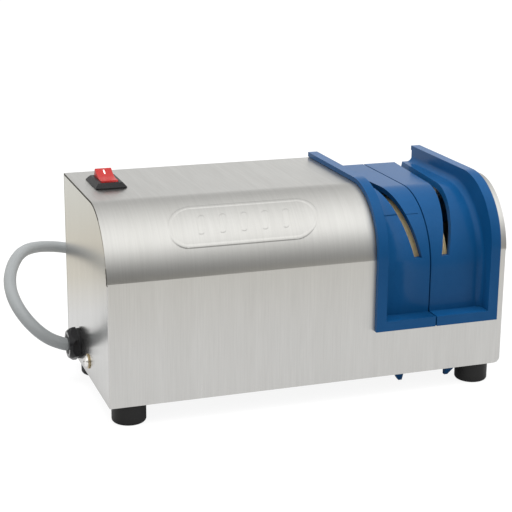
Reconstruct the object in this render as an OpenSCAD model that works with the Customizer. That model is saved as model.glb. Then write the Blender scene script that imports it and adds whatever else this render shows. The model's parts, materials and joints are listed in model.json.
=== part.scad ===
// Electric kitchen-knife sharpener: stainless housing, lift-off slotted knife guide,
// two abrasive wheels driven straight from a mains motor, rocker switch, gland and lead.
// Millimetres. +X runs along the housing to the guide end, +Y to the back, +Z up.
// The origin is the centre of the machine's footprint, on the table.

/* [Housing] */
// Length of the housing, end to end
case_l = 330; // [326:1:340]
// Depth of the housing, front to back
case_d = 152; // [150:1:156]
// Height of the housing's top above the table
top_z = 166.5; // [166:0.5:168]
// Height of the housing's lower edge above the table
case_z0 = 17; // [17:0.5:18]
// Radius of the shoulder between the front and the top
shoulder_r = 51.6; // [50:0.2:53]
// Thickness of the stainless sheet
sheet = 1.2; // [1:0.1:1.5]

/* [Feet] */
// Diameter of a rubber foot
foot_d = 26.8; // [24:0.2:28]
// Distance of a foot's centre from the housing's end
foot_inset_x = 18.3; // [17:0.1:20]
// Distance of a front foot's centre from the housing's front
foot_inset_y = 15.4; // [15:0.1:18]
// Distance of a back foot's centre from the housing's back
foot_back_inset_y = 28; // [26:0.5:30]

/* [Knife guide] */
// Middle of the knife guide, along the housing
guide_x = 104; // [103:0.5:104]
// Width of the knife guide
guide_w = 107.2; // [106:0.2:108]
// Width of a guide flange
flange_w = 8.4; // [8:0.2:9]
// How far the flanges stand out of the housing
guide_proud = 4.2; // [4:0.1:5]
// Height of the guide floor above the table
floor_z = 156.9; // [156:0.1:158]
// Radius of the guide floor's shoulder
floor_r = 58.5; // [57:0.5:60]
// Thickness of the guide's walls
guide_t = 2.6; // [2.4:0.1:2.8]
// Height of the bottom of the knife slots
slot_z0 = 109.8; // [109:0.2:111]
// Width of a knife slot at its bottom
slot_w = 6.5; // [6:0.1:6.6]

/* [Grinding wheels] */
// Radius of a grinding wheel
wheel_r = 60; // [58:0.5:60]
// Width of a grinding wheel
wheel_w = 17.5; // [12:0.5:17.5]
// Height of the wheel and motor axis
axis_z = 86; // [86:0.5:88]
// Diameter of the motor shaft
shaft_d = 12; // [10:0.5:12]

/* [Lead] */
// Diameter of the mains lead
cord_d = 10.5; // [10:0.1:10.6]

/* [Hidden] */
$fn = 96;
eps = 0.05;
gap = 0.3;

// Housing limits. The guide's front overhang counts in the footprint, so the housing sits back by half of it.
mid_y = guide_proud / 2;
front_y = mid_y - case_d / 2;
back_y = mid_y + case_d / 2;
left_x = -case_l / 2;
right_x = case_l / 2;

// Guide limits
guide_x0 = guide_x - guide_w / 2;
guide_x1 = guide_x + guide_w / 2;
guide_split_x = guide_x - 1.2;
guide_front_y = front_y - guide_proud;
guide_back_y = back_y - sheet - gap;
guide_z0 = 56.4;
ledge_z = 64.5;
lip_gap = 0.3;
lip_w = 4.5;
floor_front_y = front_y + 10.2;
window_x0 = guide_x0 + lip_w - 0.4;
window_x1 = guide_x1 - lip_w + 0.4;
window_front_z = 60.4;
window_back_z = 102;
back_wall_z = 98;

// A knife slot's two faces lean out and toe out
slot_inner_u = 8.6;
slot_lean_in = atan(0.18);
slot_lean_out = atan(0.205);
slot_toe = atan(0.082);
cheek_t = 2.4;
cheek_d = 2.2;
wheel_clear_r = wheel_r + 3;

// The guide's latch legs, which pass down through the base tray
leg_u0 = 19.4;
leg_u1 = 27.6;
leg_y1 = front_y + 20.5;
leg_t = 3;
barb_d = 5;
leg_z0 = 4.5;
leg_taper_z = 12.2;
leg_tip_w = 3;
leg_window_gap = 1;

// Bosses for the screws that join the guide's halves
boss_y = 24;
boss_z = 149;
boss_u = 8;
boss_r = 3.4;
boss_screw_r = 1.5;

// Drive positions along the shaft
shaft_x0 = -108;
shaft_x1 = guide_x + 34;
wheel_gap = 2;
flange_t = 3;
rotor_x0 = -52;
rotor_x1 = 8;
bell_l = 24;
bell_r = 50;
stator_r = 52;
rotor_r = 28;
hub_r = 17;
hub_l = 10;
bearing_r = 16;
bearing_w = 9;
partition_x = 45;
seal_r = 15;

// Base tray
tray_t = 1.5;
tray_h = 20;
tray_gap = 0.2;
tray_top_z = case_z0 + tray_t;
screw_z = 29.7;
side_screw_y = -1;

// Cradle
cradle_t = 3;
cradle_x0 = rotor_x0 - bell_l - hub_l;
cradle_x1 = rotor_x1 + bell_l + hub_l;
ring_t = 5;

// Switch
switch_x = -140.5;
switch_y = 29.5;
bezel_w = 25.5;
bezel_l = 38;
bezel_h = 4;
switch_body_w = 21;
switch_body_l = 30;
switch_body_h = 24;
rocker_w = 13.6;
rocker_r = 13.6;
rocker_tilt = 11;
rocker_z = top_z + 2.4;

// Gland and lead
gland_y = 38;
gland_z = 31.5;
gland_r = 13;
gland_out = 9;
lock_nut_af = 22;
lock_nut_clear_r = 13;
cord_r = cord_d / 2;
gland_x1 = left_x - gland_out;
coil_x = -20;
coil_y = 190;
coil_r = 57.75;
plug_y = coil_y - coil_r - cord_r;
plug_z = 15;
plug_x = -72;

// The lead's way from the gland to the coil behind the housing
lead_route = [
    [-174, 38, 31.5], [-181, 38, 32.5], [-188, 39.5, 35.5], [-195, 42, 41], [-201, 46, 47],
    [-206, 51, 53], [-210, 59, 59], [-212, 68, 64], [-213, 79, 68], [-211, 96, 72],
    [-208, 109, 74], [-204, 124, 75], [-198, 142, 76], [-192, 163, 75], [-184, 185, 72.5],
    [-174, 204, 69], [-165, 219, 65], [-154, 234, 60.5], [-142, 247, 56], [-128, 257, 51],
    [-112, 264, 44.5], [-94, 267, 36.5], [-76, 266.5, 27.5], [-58, 263, 18.5], [-42, 258, 11],
    [-28, 254, 6.5]
];

// Internal wires, from the gland to the switch, the capacitor and the motor
wire_mains = [
    [-151, 38, 31.5], [-147, 38, 31.5], [-142, 38, 35], [-139, 36, 44], [-139, 34, 70], [-139, 32, 100],
    [-140, 30, 120], [-140, 29.5, 132]
];
wire_motor = [
    [-140, 22, 132], [-138, 21, 126], [-130, 22, 124], [-118, 27, 129], [-103, 30, 135],
    [-90, 29, 134], [-81, 27, 129], [-77, 26, 126]
];
wire_capacitor = [
    [-147, 22, 132], [-147, 14, 118], [-146, 2, 100], [-142, -18, 80], [-137, -28, 69], [-136, -31, 65]
];

// ---------------------------------------------------------------- helpers

// A 2D drawing in the YZ plane, pulled along X
module along_x(x0, x1) {
    translate([x0, 0, 0]) rotate([90, 0, 90]) linear_extrude(x1 - x0) children();
}

module box(lo, hi) {
    translate(lo) cube(hi - lo);
}

module rod_x(x0, x1, r, y = mid_y, z = axis_z) {
    translate([x0, y, z]) rotate([0, 90, 0]) cylinder(h = x1 - x0, r = r);
}

module rod_z(z0, z1, r, x, y) {
    translate([x, y, z0]) cylinder(h = z1 - z0, r = r);
}

// A rectangle in (y, z) whose front-top corner is a quarter circle
module section(y0, y1, z0, z1, r) {
    translate([y0 + r, z1 - r]) circle(r);
    translate([y0, z0]) square([y1 - y0, z1 - r - z0]);
    translate([y0 + r, z0]) square([y1 - y0 - r, z1 - z0]);
}

module housing_section(inset) {
    section(front_y + inset, back_y - inset, case_z0, top_z - inset, shoulder_r - inset);
}

module floor_section(inset, z0) {
    section(floor_front_y + inset, guide_back_y - inset, z0, floor_z - inset, floor_r - inset);
}

module flange_section(z0) {
    section(guide_front_y, back_y, z0, top_z + guide_proud, shoulder_r + guide_proud);
}

// A pan-head screw with a cross recess, its shank along +Z from the head's seat
module pan_screw(head_r, head_h, shank_r, shank_l) {
    difference() {
        translate([0, 0, -head_h]) cylinder(h = head_h, r1 = head_r * 0.72, r2 = head_r);
        translate([-head_r * 0.5, -0.5, -head_h - eps]) cube([head_r, 1, head_h * 0.45]);
        translate([-0.5, -head_r * 0.5, -head_h - eps]) cube([1, head_r, head_h * 0.45]);
    }
    translate([0, 0, -eps]) cylinder(h = shank_l, r = shank_r);
}

module hex(af, h) {
    cylinder(h = h, d = af / cos(30), $fn = 6);
}

// One tube swept along a list of points, with flat ends
function unit(v) = v / norm(v);
function heading(p, i) = unit(p[min(i + 1, len(p) - 1)] - p[max(i - 1, 0)]);
function side_of(t) = unit(cross(abs(t[2]) > 0.95 ? [1, 0, 0] : [0, 0, 1], t));
function ring_at(p, i, r, n) = let (t = heading(p, i), s = side_of(t), u = cross(t, s))
    [for (k = [0 : n - 1]) p[i] + r * (cos(360 * k / n) * s + sin(360 * k / n) * u)];
module swept_tube(p, r, n) {
    rings = len(p);
    points = [for (i = [0 : rings - 1]) each ring_at(p, i, r, n)];
    sides = [
        for (i = [0 : rings - 2], k = [0 : n - 1])
            [i * n + k, i * n + (k + 1) % n, (i + 1) * n + (k + 1) % n, (i + 1) * n + k]
    ];
    first = [for (k = [n - 1 : -1 : 0]) k];
    last = [for (k = [0 : n - 1]) (rings - 1) * n + k];
    polyhedron(points, concat([first, last], [for (f = sides) [f[3], f[2], f[1], f[0]]]));
}

// ---------------------------------------------------------------- housing

module housing_shell() {
    color("silver") difference() {
        along_x(left_x, right_x) housing_section(0);
        along_x(left_x + sheet, right_x - sheet) housing_section(sheet);
        box([left_x + sheet, front_y + sheet, case_z0 - 1], [right_x - sheet, back_y - sheet, case_z0 + 5]);
        box([window_x0, front_y - 1, window_front_z], [window_x1, mid_y, top_z + 1]);
        box([window_x0, mid_y - 1, window_back_z], [window_x1, back_y + 1, top_z + 1]);
        translate([switch_x, switch_y, top_z - 3])
            translate([-switch_body_w / 2 - 0.1, -switch_body_l / 2 - 0.1, 0])
                cube([switch_body_w + 0.2, switch_body_l + 0.2, 6]);
        rod_x(left_x - 1, left_x + 3, 10.1, gland_y, gland_z);
        rod_x(left_x - 1, left_x + 3, 2.7, side_screw_y, screw_z);
        rod_x(right_x - 3, right_x + 1, 2.7, side_screw_y, screw_z);
        for (x = [-110 : 14 : 16]) {
            box([x, back_y - 3, 116], [x + 6, back_y + 1, 140]);
        }
        for (s = [-1, 1]) {
            translate([s * 120, back_y + 1, screw_z]) rotate([90, 0, 0]) cylinder(h = 4, r = 2.7);
        }
    }
}

module base_tray() {
    x0 = left_x + sheet + tray_gap;
    x1 = right_x - sheet - tray_gap;
    y0 = front_y + sheet + tray_gap;
    y1 = back_y - sheet - tray_gap;
    color("lightgray") difference() {
        box([x0, y0, case_z0], [x1, y1, case_z0 + tray_h]);
        box([x0 + tray_t, y0 + tray_t, tray_top_z], [x1 - tray_t, y1 - tray_t, case_z0 + tray_h + 1]);
        for (x = [left_x + foot_inset_x, right_x - foot_inset_x]) {
            for (y = [front_y + foot_inset_y, back_y - foot_back_inset_y]) {
                rod_z(case_z0 - 1, tray_top_z + 1, 2.6, x, y);
            }
        }
        for (u = [-leg_u1, leg_u0]) {
            box([guide_x + u - leg_window_gap, leg_y1 - leg_t - barb_d - leg_window_gap, case_z0 - 1],
                [guide_x + u + leg_u1 - leg_u0 + leg_window_gap, leg_y1 + leg_window_gap, tray_top_z + 1]);
        }
        rod_x(left_x, left_x + 6, 2.4, side_screw_y, screw_z);
        rod_x(right_x - 6, right_x, 2.4, side_screw_y, screw_z);
        rod_x(left_x, left_x + 6, lock_nut_clear_r, gland_y, gland_z);
        for (s = [-1, 1]) {
            translate([s * 120, back_y, screw_z]) rotate([90, 0, 0]) cylinder(h = 6, r = 2.4);
        }
        for (x = [cradle_x0 + 14, cradle_x1 - 14]) {
            for (y = [mid_y - 38, mid_y + 38]) {
                rod_z(case_z0 - 1, tray_top_z + 1, 2.7, x, y);
            }
        }
        for (x = [-40 : 12 : 8]) {
            box([x, mid_y - 20, case_z0 - 1], [x + 5, mid_y + 20, tray_top_z + 1]);
        }
        for (y = [mid_y - 50, mid_y + 50]) {
            rod_z(case_z0 - 1, tray_top_z + 1, 2.2, partition_x + 8, y);
        }
    }
}

// Four screws hold the housing to the tray's turned-up edges: one at each end, two at the back
module housing_screws() {
    color("gainsboro") {
        for (s = [-1, 1]) {
            translate([s * (right_x + 1), side_screw_y, screw_z]) rotate([0, -90 * s, 0]) {
                pan_screw(5, 3, 2, 10);
                difference() {
                    cylinder(h = 0.9, r = 6);
                    translate([0, 0, -1]) cylinder(h = 3, r = 2 - eps);
                }
            }
            translate([s * 120, back_y, screw_z]) rotate([90, 0, 0]) pan_screw(4, 1.6, 2, 9);
        }
    }
}

module partition_plate() {
    color("lightgray") difference() {
        union() {
            along_x(partition_x, partition_x + 1.5)
                section(front_y + 4, back_y - 4, tray_top_z, top_z - 5, shoulder_r - 4);
            box([partition_x, mid_y - 60, tray_top_z], [partition_x + 14, mid_y + 60, tray_top_z + 1.5]);
        }
        rod_x(partition_x - 1, partition_x + 3, seal_r);
        for (y = [mid_y - 50, mid_y + 50]) {
            rod_z(tray_top_z - 1, tray_top_z + 3, 2.2, partition_x + 8, y);
        }
    }
}

module partition_screws() {
    color("gainsboro") {
        for (y = [mid_y - 50, mid_y + 50]) {
            translate([partition_x + 8, y, case_z0]) pan_screw(3.6, 2.2, 1.9, 7);
        }
    }
}

// ---------------------------------------------------------------- feet

module foot(sx, sy) {
    x = sx * (right_x - foot_inset_x);
    y = sy > 0 ? back_y - foot_back_inset_y : front_y + foot_inset_y;
    r = foot_d / 2;
    color([0.1, 0.1, 0.1]) translate([x, y, 0]) rotate_extrude() difference() {
        union() {
            translate([0, 2.5]) square([r, case_z0 - 2.5]);
            square([r - 2.5, 4]);
            translate([r - 2.5, 2.5]) circle(2.5);
        }
        translate([-1, -1]) square([7, 10]);
        translate([-1, -1]) square([3.6, case_z0 + 2]);
        translate([-20, -1]) square([20, case_z0 + 2]);
    }
}

module foot_front_left() { foot(-1, -1); }
module foot_front_right() { foot(1, -1); }
module foot_back_left() { foot(-1, 1); }
module foot_back_right() { foot(1, 1); }

module at_feet() {
    for (x = [left_x + foot_inset_x, right_x - foot_inset_x]) {
        for (y = [front_y + foot_inset_y, back_y - foot_back_inset_y]) {
            translate([x, y, 0]) children();
        }
    }
}

module foot_screws() {
    color("gainsboro") at_feet() translate([0, 0, 9]) pan_screw(4.8, 3, 2.5, 17);
}

module foot_nuts() {
    color("gainsboro") at_feet() difference() {
        translate([0, 0, tray_top_z]) hex(8, 4);
        translate([0, 0, tray_top_z - 1]) cylinder(h = 6, r = 2.55);
    }
}

// ---------------------------------------------------------------- knife guide

// The space of one knife slot: between two leaning planes, above the slot's bottom
module slot_space(side, grow, z0) {
    translate([guide_x, floor_front_y, slot_z0]) mirror([side < 0 ? 1 : 0, 0, 0]) {
        intersection() {
            translate([slot_inner_u - grow, 0, 0]) rotate([0, slot_lean_in, -slot_toe])
                translate([0, -40, -60]) cube([60, 260, 160]);
            translate([slot_inner_u + slot_w + grow, 0, 0]) rotate([0, slot_lean_out, -slot_toe])
                translate([-60, -40, -60]) cube([60, 260, 160]);
            translate([-60, -40, z0 - slot_z0]) cube([160, 260, 90]);
        }
    }
}

// Low ribs round each slot under the floor, clear of the wheels
module slot_cheeks() {
    difference() {
        intersection() {
            union() {
                slot_space(-1, cheek_t, slot_z0 - 3);
                slot_space(1, cheek_t, slot_z0 - 3);
            }
            along_x(guide_x - 48, guide_x + 48) floor_section(eps, slot_z0 - 10);
        }
        along_x(guide_x - 49, guide_x + 49) floor_section(guide_t + cheek_d, slot_z0 - 20);
        rod_x(guide_x - 49, guide_x + 49, wheel_clear_r);
        box([guide_x - 1.6, front_y, slot_z0 - 20], [guide_x + 1.6, back_y, top_z]);
    }
}

// A leg down through the tray. Its end tapers from its outer side to a narrow tip
module latch_leg(u0) {
    x0 = guide_x + u0;
    x1 = x0 + leg_u1 - leg_u0;
    side = u0 < 0 ? -1 : 1;
    outer = u0 < 0 ? x0 : x1;
    tip = outer - side * (leg_u1 - leg_u0 - leg_tip_w);
    slope = (tip - outer) / (leg_taper_z - leg_z0);
    difference() {
        union() {
            box([x0, leg_y1 - leg_t, leg_z0], [x1, leg_y1, ledge_z]);
            box([x0, floor_front_y + eps, ledge_z - 3.5], [x1, leg_y1, ledge_z]);
            along_x(x0, x1) polygon([
                [leg_y1 - leg_t + eps, leg_z0],
                [leg_y1 - leg_t - barb_d, case_z0 - 0.8],
                [leg_y1 - leg_t + eps, case_z0 - 0.8]
            ]);
        }
        translate([0, leg_y1 + 1, 0]) rotate([90, 0, 0]) linear_extrude(leg_t + barb_d + 2) polygon([
            [outer - slope, leg_taper_z + 1],
            [tip + slope, leg_z0 - 1],
            [outer + side * 2, leg_z0 - 1],
            [outer + side * 2, leg_taper_z + 1]
        ]);
    }
}

// A boss under the floor, above the wheels, with a web up into the floor's thickness
module joining_boss(y) {
    rod_x(guide_x - boss_u, guide_x + boss_u, boss_r, y, boss_z);
    intersection() {
        box([guide_x - boss_u, y - boss_r, boss_z], [guide_x + boss_u, y + boss_r, floor_z]);
        along_x(guide_x - boss_u, guide_x + boss_u) floor_section(guide_t / 2, boss_z - 1);
    }
}

module guide_whole() {
    difference() {
        union() {
            difference() {
                along_x(guide_x0 + lip_w, guide_x1 - lip_w) floor_section(0, guide_z0 + lip_w);
                along_x(guide_x0, guide_x1) floor_section(guide_t, guide_z0 - 20);
                box([guide_x0, mid_y, guide_z0 - 10], [guide_x1, back_y + 5, back_wall_z]);
            }
            for (x = [guide_x0, guide_x1 - flange_w]) {
                difference() {
                    along_x(x, x + flange_w) flange_section(guide_z0);
                    along_x(x - 1, x + flange_w + 1)
                        section(front_y - lip_gap, back_y + 10, guide_z0 - 10, top_z + lip_gap, shoulder_r + lip_gap);
                }
            }
            for (x = [guide_x0 + lip_w, guide_x1 - flange_w]) {
                difference() {
                    along_x(x, x + flange_w - lip_w) section(
                        guide_front_y + eps, guide_back_y, guide_z0 + lip_w,
                        top_z + guide_proud - eps, shoulder_r + guide_proud - eps);
                    along_x(x - 1, x + flange_w) floor_section(guide_t, guide_z0 - 20);
                    box([guide_x0, mid_y, guide_z0 - 10], [guide_x1, back_y + 5, back_wall_z]);
                }
            }
            box([guide_x0 + 1, guide_front_y, guide_z0], [guide_x1 - 1, front_y - lip_gap, ledge_z]);
            box([guide_x0 + lip_w, guide_front_y + 1, guide_z0 + lip_w],
                [guide_x1 - lip_w, floor_front_y + guide_t, ledge_z]);
            slot_cheeks();
            latch_leg(-leg_u1);
            latch_leg(leg_u0);
            for (s = [-1, 1]) {
                joining_boss(mid_y + s * boss_y);
            }
        }
        slot_space(-1, 0, slot_z0);
        slot_space(1, 0, slot_z0);
        for (s = [-1, 1]) {
            rod_x(guide_x - boss_u - 1, guide_x + boss_u - 1.5, boss_screw_r + 0.1, mid_y + s * boss_y, boss_z);
        }
    }
}

module guide_left_half() {
    color("royalblue") intersection() {
        guide_whole();
        box([guide_x0 - 10, -200, 0], [guide_split_x - 0.1, 200, 300]);
    }
}

module guide_right_half() {
    color("royalblue") intersection() {
        guide_whole();
        box([guide_split_x + 0.1, -200, 0], [guide_x1 + 10, 200, 300]);
    }
}

// Two cross screws hold the halves together, through the bosses under the floor
module guide_screws() {
    color("gainsboro") for (s = [-1, 1]) {
        translate([guide_x - boss_u, mid_y + s * boss_y, boss_z]) rotate([0, 90, 0])
            pan_screw(2.8, 1.8, boss_screw_r, 2 * boss_u - 2);
    }
}

// ---------------------------------------------------------------- wheels and shaft

wheel_left_x0 = guide_x - wheel_gap / 2 - wheel_w;
wheel_right_x0 = guide_x + wheel_gap / 2;

module wheel(x0) {
    color("tan") difference() {
        rod_x(x0, x0 + wheel_w, wheel_r);
        rod_x(x0 - 1, x0 + wheel_w + 1, shaft_d / 2 + gap / 6);
    }
}

module wheel_left() { wheel(wheel_left_x0); }
module wheel_right() { wheel(wheel_right_x0); }

module wheel_spacer() {
    color("silver") difference() {
        rod_x(guide_x - wheel_gap / 2, guide_x + wheel_gap / 2, 16);
        rod_x(guide_x - wheel_gap, guide_x + wheel_gap, shaft_d / 2 + gap / 6);
    }
}

module clamp_flange(x0) {
    color("silver") difference() {
        rod_x(x0, x0 + flange_t, 20);
        rod_x(x0 - 1, x0 + flange_t + 1, shaft_d / 2 + gap / 6);
    }
}

module wheel_flange_inner() { clamp_flange(wheel_left_x0 - flange_t); }
module wheel_flange_outer() { clamp_flange(wheel_right_x0 + wheel_w); }

module shaft_nut() {
    x0 = wheel_right_x0 + wheel_w + flange_t;
    color("silver") difference() {
        translate([x0, mid_y, axis_z]) rotate([0, 90, 0]) hex(17, 8);
        rod_x(x0 - 1, x0 + 10, shaft_d / 2 - 1 + gap / 6);
    }
}

module motor_shaft() {
    step_x = wheel_right_x0 + wheel_w + flange_t - 0.5;
    color("gray") {
        rod_x(shaft_x0, step_x, shaft_d / 2);
        rod_x(step_x - 1, shaft_x1, shaft_d / 2 - 1);
        rod_x(wheel_left_x0 - flange_t - 6, wheel_left_x0 - flange_t, shaft_d / 2 + 3);
    }
}

module motor_rotor() {
    color("dimgray") difference() {
        union() {
            rod_x(rotor_x0, rotor_x1, rotor_r);
            rod_x(rotor_x0 - 6, rotor_x1 + 6, rotor_r - 6);
        }
        rod_x(rotor_x0 - 8, rotor_x1 + 8, shaft_d / 2);
    }
}

fan_x0 = cradle_x0 - 20;
fan_x1 = cradle_x0 - 8;
module cooling_fan() {
    color("whitesmoke") difference() {
        union() {
            rod_x(fan_x0, fan_x1, 12);
            rod_x(fan_x1 - 1.5, fan_x1, 40);
            for (a = [0 : 40 : 320]) {
                translate([fan_x0 + 1, mid_y, axis_z]) rotate([a, 0, 0])
                    translate([0, 10, -0.8]) cube([fan_x1 - fan_x0 - 1.5, 29, 1.6]);
            }
        }
        rod_x(fan_x0 - 1, fan_x1 + 1, shaft_d / 2);
    }
}

module shaft_seal() {
    color([0.15, 0.15, 0.15]) difference() {
        union() {
            rod_x(partition_x - 1.5, partition_x + 3, seal_r);
            rod_x(partition_x - 2.5, partition_x, seal_r + 3);
        }
        rod_x(partition_x - 4, partition_x + 4, shaft_d / 2 + gap);
    }
}

// ---------------------------------------------------------------- motor

module bearing(x0) {
    color("silver") difference() {
        rod_x(x0, x0 + bearing_w, bearing_r);
        rod_x(x0 - 1, x0 + bearing_w + 1, shaft_d / 2 + gap / 6);
    }
}

module bearing_left() { bearing(rotor_x0 - bell_l - 1); }
module bearing_right() { bearing(rotor_x1 + bell_l + 1 - bearing_w); }

tie_r = 45;
module tie_positions() {
    for (a = [45 : 90 : 315]) {
        translate([0, mid_y + tie_r * cos(a), axis_z + tie_r * sin(a)]) children();
    }
}

module stator_core() {
    color("slategray") difference() {
        rod_x(rotor_x0, rotor_x1, stator_r);
        rod_x(rotor_x0 - 1, rotor_x1 + 1, rotor_r + 0.5);
        tie_positions() translate([rotor_x0 - 1, 0, 0]) rotate([0, 90, 0])
            cylinder(h = rotor_x1 - rotor_x0 + 2, r = 2.6);
    }
}

module stator_windings() {
    color("sienna") for (x = [rotor_x0 - 14, rotor_x1]) {
        difference() {
            rod_x(x, x + 14, 41);
            rod_x(x - 1, x + 15, 31);
        }
    }
}

module end_bell(x0, x1, hub_x0, hub_x1, cavity_x0, cavity_x1, seat_x) {
    color("gray") difference() {
        union() {
            rod_x(x0, x1, bell_r);
            rod_x(hub_x0, hub_x1, hub_r + 3);
        }
        rod_x(cavity_x0, cavity_x1, bell_r - 3);
        rod_x(seat_x, seat_x + bearing_w, bearing_r);
        rod_x(x0 - hub_l - 2, x1 + hub_l + 2, shaft_d / 2 + 2);
        for (a = [0 : 45 : 315]) {
            translate([(x0 + x1) / 2, mid_y, axis_z]) rotate([a + 22.5, 0, 0])
                translate([-bell_l, 30, -4]) cube([bell_l * 2, 11, 8]);
        }
        tie_positions() translate([x0 - 1, 0, 0]) rotate([0, 90, 0]) cylinder(h = x1 - x0 + 2, r = 2.6);
    }
}

module motor_end_bell_left() {
    end_bell(rotor_x0 - bell_l, rotor_x0, rotor_x0 - bell_l - hub_l, rotor_x0 - bell_l + 9,
        rotor_x0 - bell_l + 9, rotor_x0 + 1, rotor_x0 - bell_l - 1);
}

module motor_end_bell_right() {
    end_bell(rotor_x1, rotor_x1 + bell_l, rotor_x1 + bell_l - 9, rotor_x1 + bell_l + hub_l,
        rotor_x1 - 1, rotor_x1 + bell_l - 9, rotor_x1 + bell_l + 1 - bearing_w);
}

module motor_tie_bolts() {
    color("gainsboro") tie_positions() translate([rotor_x0 - bell_l, 0, 0]) rotate([0, 90, 0]) {
        cylinder(h = rotor_x1 - rotor_x0 + 2 * bell_l + 4, r = 2.4);
        translate([0, 0, -3]) hex(8, 3);
        translate([0, 0, rotor_x1 - rotor_x0 + 2 * bell_l]) hex(8, 4);
    }
}

module mount_ring(x0) {
    color([0.12, 0.12, 0.12]) difference() {
        rod_x(x0, x0 + hub_l - 2, hub_r + 3 + ring_t);
        rod_x(x0 - 1, x0 + hub_l, hub_r + 3);
    }
}

module mount_ring_left() { mount_ring(rotor_x0 - bell_l - hub_l + 1); }
module mount_ring_right() { mount_ring(rotor_x1 + bell_l + 1); }

// A sheet cradle: a flat foot with an upright at each end that holds the motor's hub rings
module motor_cradle() {
    x0 = rotor_x0 - bell_l - hub_l + 3;
    x1 = rotor_x1 + bell_l + 5;
    color("silver") difference() {
        union() {
            box([x0, mid_y - 46, tray_top_z], [x1 + cradle_t, mid_y + 46, tray_top_z + cradle_t]);
            for (x = [x0, x1]) {
                box([x, mid_y - 34, tray_top_z], [x + cradle_t, mid_y + 34, axis_z]);
                rod_x(x, x + cradle_t, 34);
            }
        }
        for (x = [x0, x1]) {
            rod_x(x - 1, x + cradle_t + 1, hub_r + 3 + ring_t);
        }
        for (x = [cradle_x0 + 14, cradle_x1 - 14]) {
            for (y = [mid_y - 38, mid_y + 38]) {
                rod_z(tray_top_z - 1, tray_top_z + 5, 2.7, x, y);
            }
        }
    }
}

module cradle_screws() {
    color("gainsboro") for (x = [cradle_x0 + 14, cradle_x1 - 14]) {
        for (y = [mid_y - 38, mid_y + 38]) {
            translate([x, y, case_z0]) pan_screw(4.6, 2.8, 2.4, 12);
            difference() {
                translate([x, y, tray_top_z + cradle_t]) hex(8, 4);
                translate([x, y, tray_top_z]) cylinder(h = 12, r = 2.3);
            }
        }
    }
}

module run_capacitor() {
    color("whitesmoke") {
        rod_z(tray_top_z, tray_top_z + 42, 15, -134, mid_y - 36);
        rod_z(tray_top_z + 41, tray_top_z + 45, 12, -134, mid_y - 36);
    }
}

module capacitor_strap() {
    x = -134;
    y = mid_y - 36;
    color("silver") difference() {
        union() {
            rod_z(tray_top_z + 14, tray_top_z + 22, 16, x, y);
            box([x + 12, y - 5, tray_top_z], [x + 24, y + 5, tray_top_z + 22]);
        }
        rod_z(tray_top_z + 10, tray_top_z + 30, 15, x, y);
        box([x + 10, y - 6, tray_top_z + 1.5], [x + 22.5, y + 6, tray_top_z + 14]);
        box([x + 17, y - 6, tray_top_z + 1.5], [x + 22.5, y + 6, tray_top_z + 20.5]);
        box([x - 10, y - 10, tray_top_z - 1], [x + 15, y + 10, tray_top_z + 13.9]);
    }
}

module internal_leads() {
    color("saddlebrown") {
        swept_tube(wire_mains, 3.2, 8);
        swept_tube(wire_motor, 2, 8);
        swept_tube(wire_capacitor, 1.8, 8);
    }
}

// ---------------------------------------------------------------- switch

module switch_body() {
    color([0.16, 0.16, 0.17]) difference() {
        union() {
            translate([switch_x, switch_y, top_z]) hull() {
                translate([-bezel_w / 2, -bezel_l / 2, 0]) cube([bezel_w, bezel_l, 0.8]);
                translate([-bezel_w / 2 + 3, -bezel_l / 2 + 3, 0]) cube([bezel_w - 6, bezel_l - 6, bezel_h]);
            }
            translate([switch_x - switch_body_w / 2, switch_y - switch_body_l / 2, top_z - switch_body_h])
                cube([switch_body_w, switch_body_l, switch_body_h + 0.4]);
        }
        rod_x(switch_x - rocker_w / 2 - gap, switch_x + rocker_w / 2 + gap, rocker_r + gap, switch_y, rocker_z);
    }
}

module switch_rocker() {
    color("red") translate([switch_x - rocker_w / 2, switch_y, rocker_z]) rotate([rocker_tilt, 0, 0])
        rotate([90, 0, 90]) linear_extrude(rocker_w) difference() {
            circle(rocker_r);
            polygon([[-20, 3.4 + 20 * tan(rocker_tilt)], [0, 3.4], [20, 3.4 + 20 * tan(rocker_tilt)], [20, 30], [-20, 30]]);
        }
}

module switch_terminals() {
    color("gold") for (x = [-5, 5], y = [-8, 8]) {
        translate([switch_x + x - 0.4, switch_y + y - 3.1, top_z - switch_body_h - 10]) cube([0.8, 6.2, 10]);
    }
}

// ---------------------------------------------------------------- gland and lead

module gland_body() {
    color([0.1, 0.1, 0.1]) difference() {
        union() {
            rod_x(left_x - 2, left_x + 13, 10, gland_y, gland_z);
            rod_x(left_x - 2, left_x, gland_r - 0.5, gland_y, gland_z);
        }
        rod_x(left_x - 3, left_x + 14, 7.6, gland_y, gland_z);
    }
}

module gland_dome_nut() {
    color([0.08, 0.08, 0.08]) difference() {
        intersection() {
            translate([gland_x1, gland_y, gland_z]) rotate([0, 90, 0])
                hex(gland_r * 2 - 1.2, gland_out - 2);
            translate([gland_x1, gland_y, gland_z]) rotate([0, 90, 0])
                cylinder(h = gland_out - 2, r1 = gland_r - 2, r2 = gland_r + 3);
        }
        rod_x(gland_x1 - 1, left_x, 8.2, gland_y, gland_z);
    }
}

module gland_lock_nut() {
    color([0.1, 0.1, 0.1]) difference() {
        translate([left_x + sheet, gland_y, gland_z]) rotate([0, 90, 0]) hex(lock_nut_af, 5);
        rod_x(left_x, left_x + 8, 10, gland_y, gland_z);
    }
}

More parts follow.
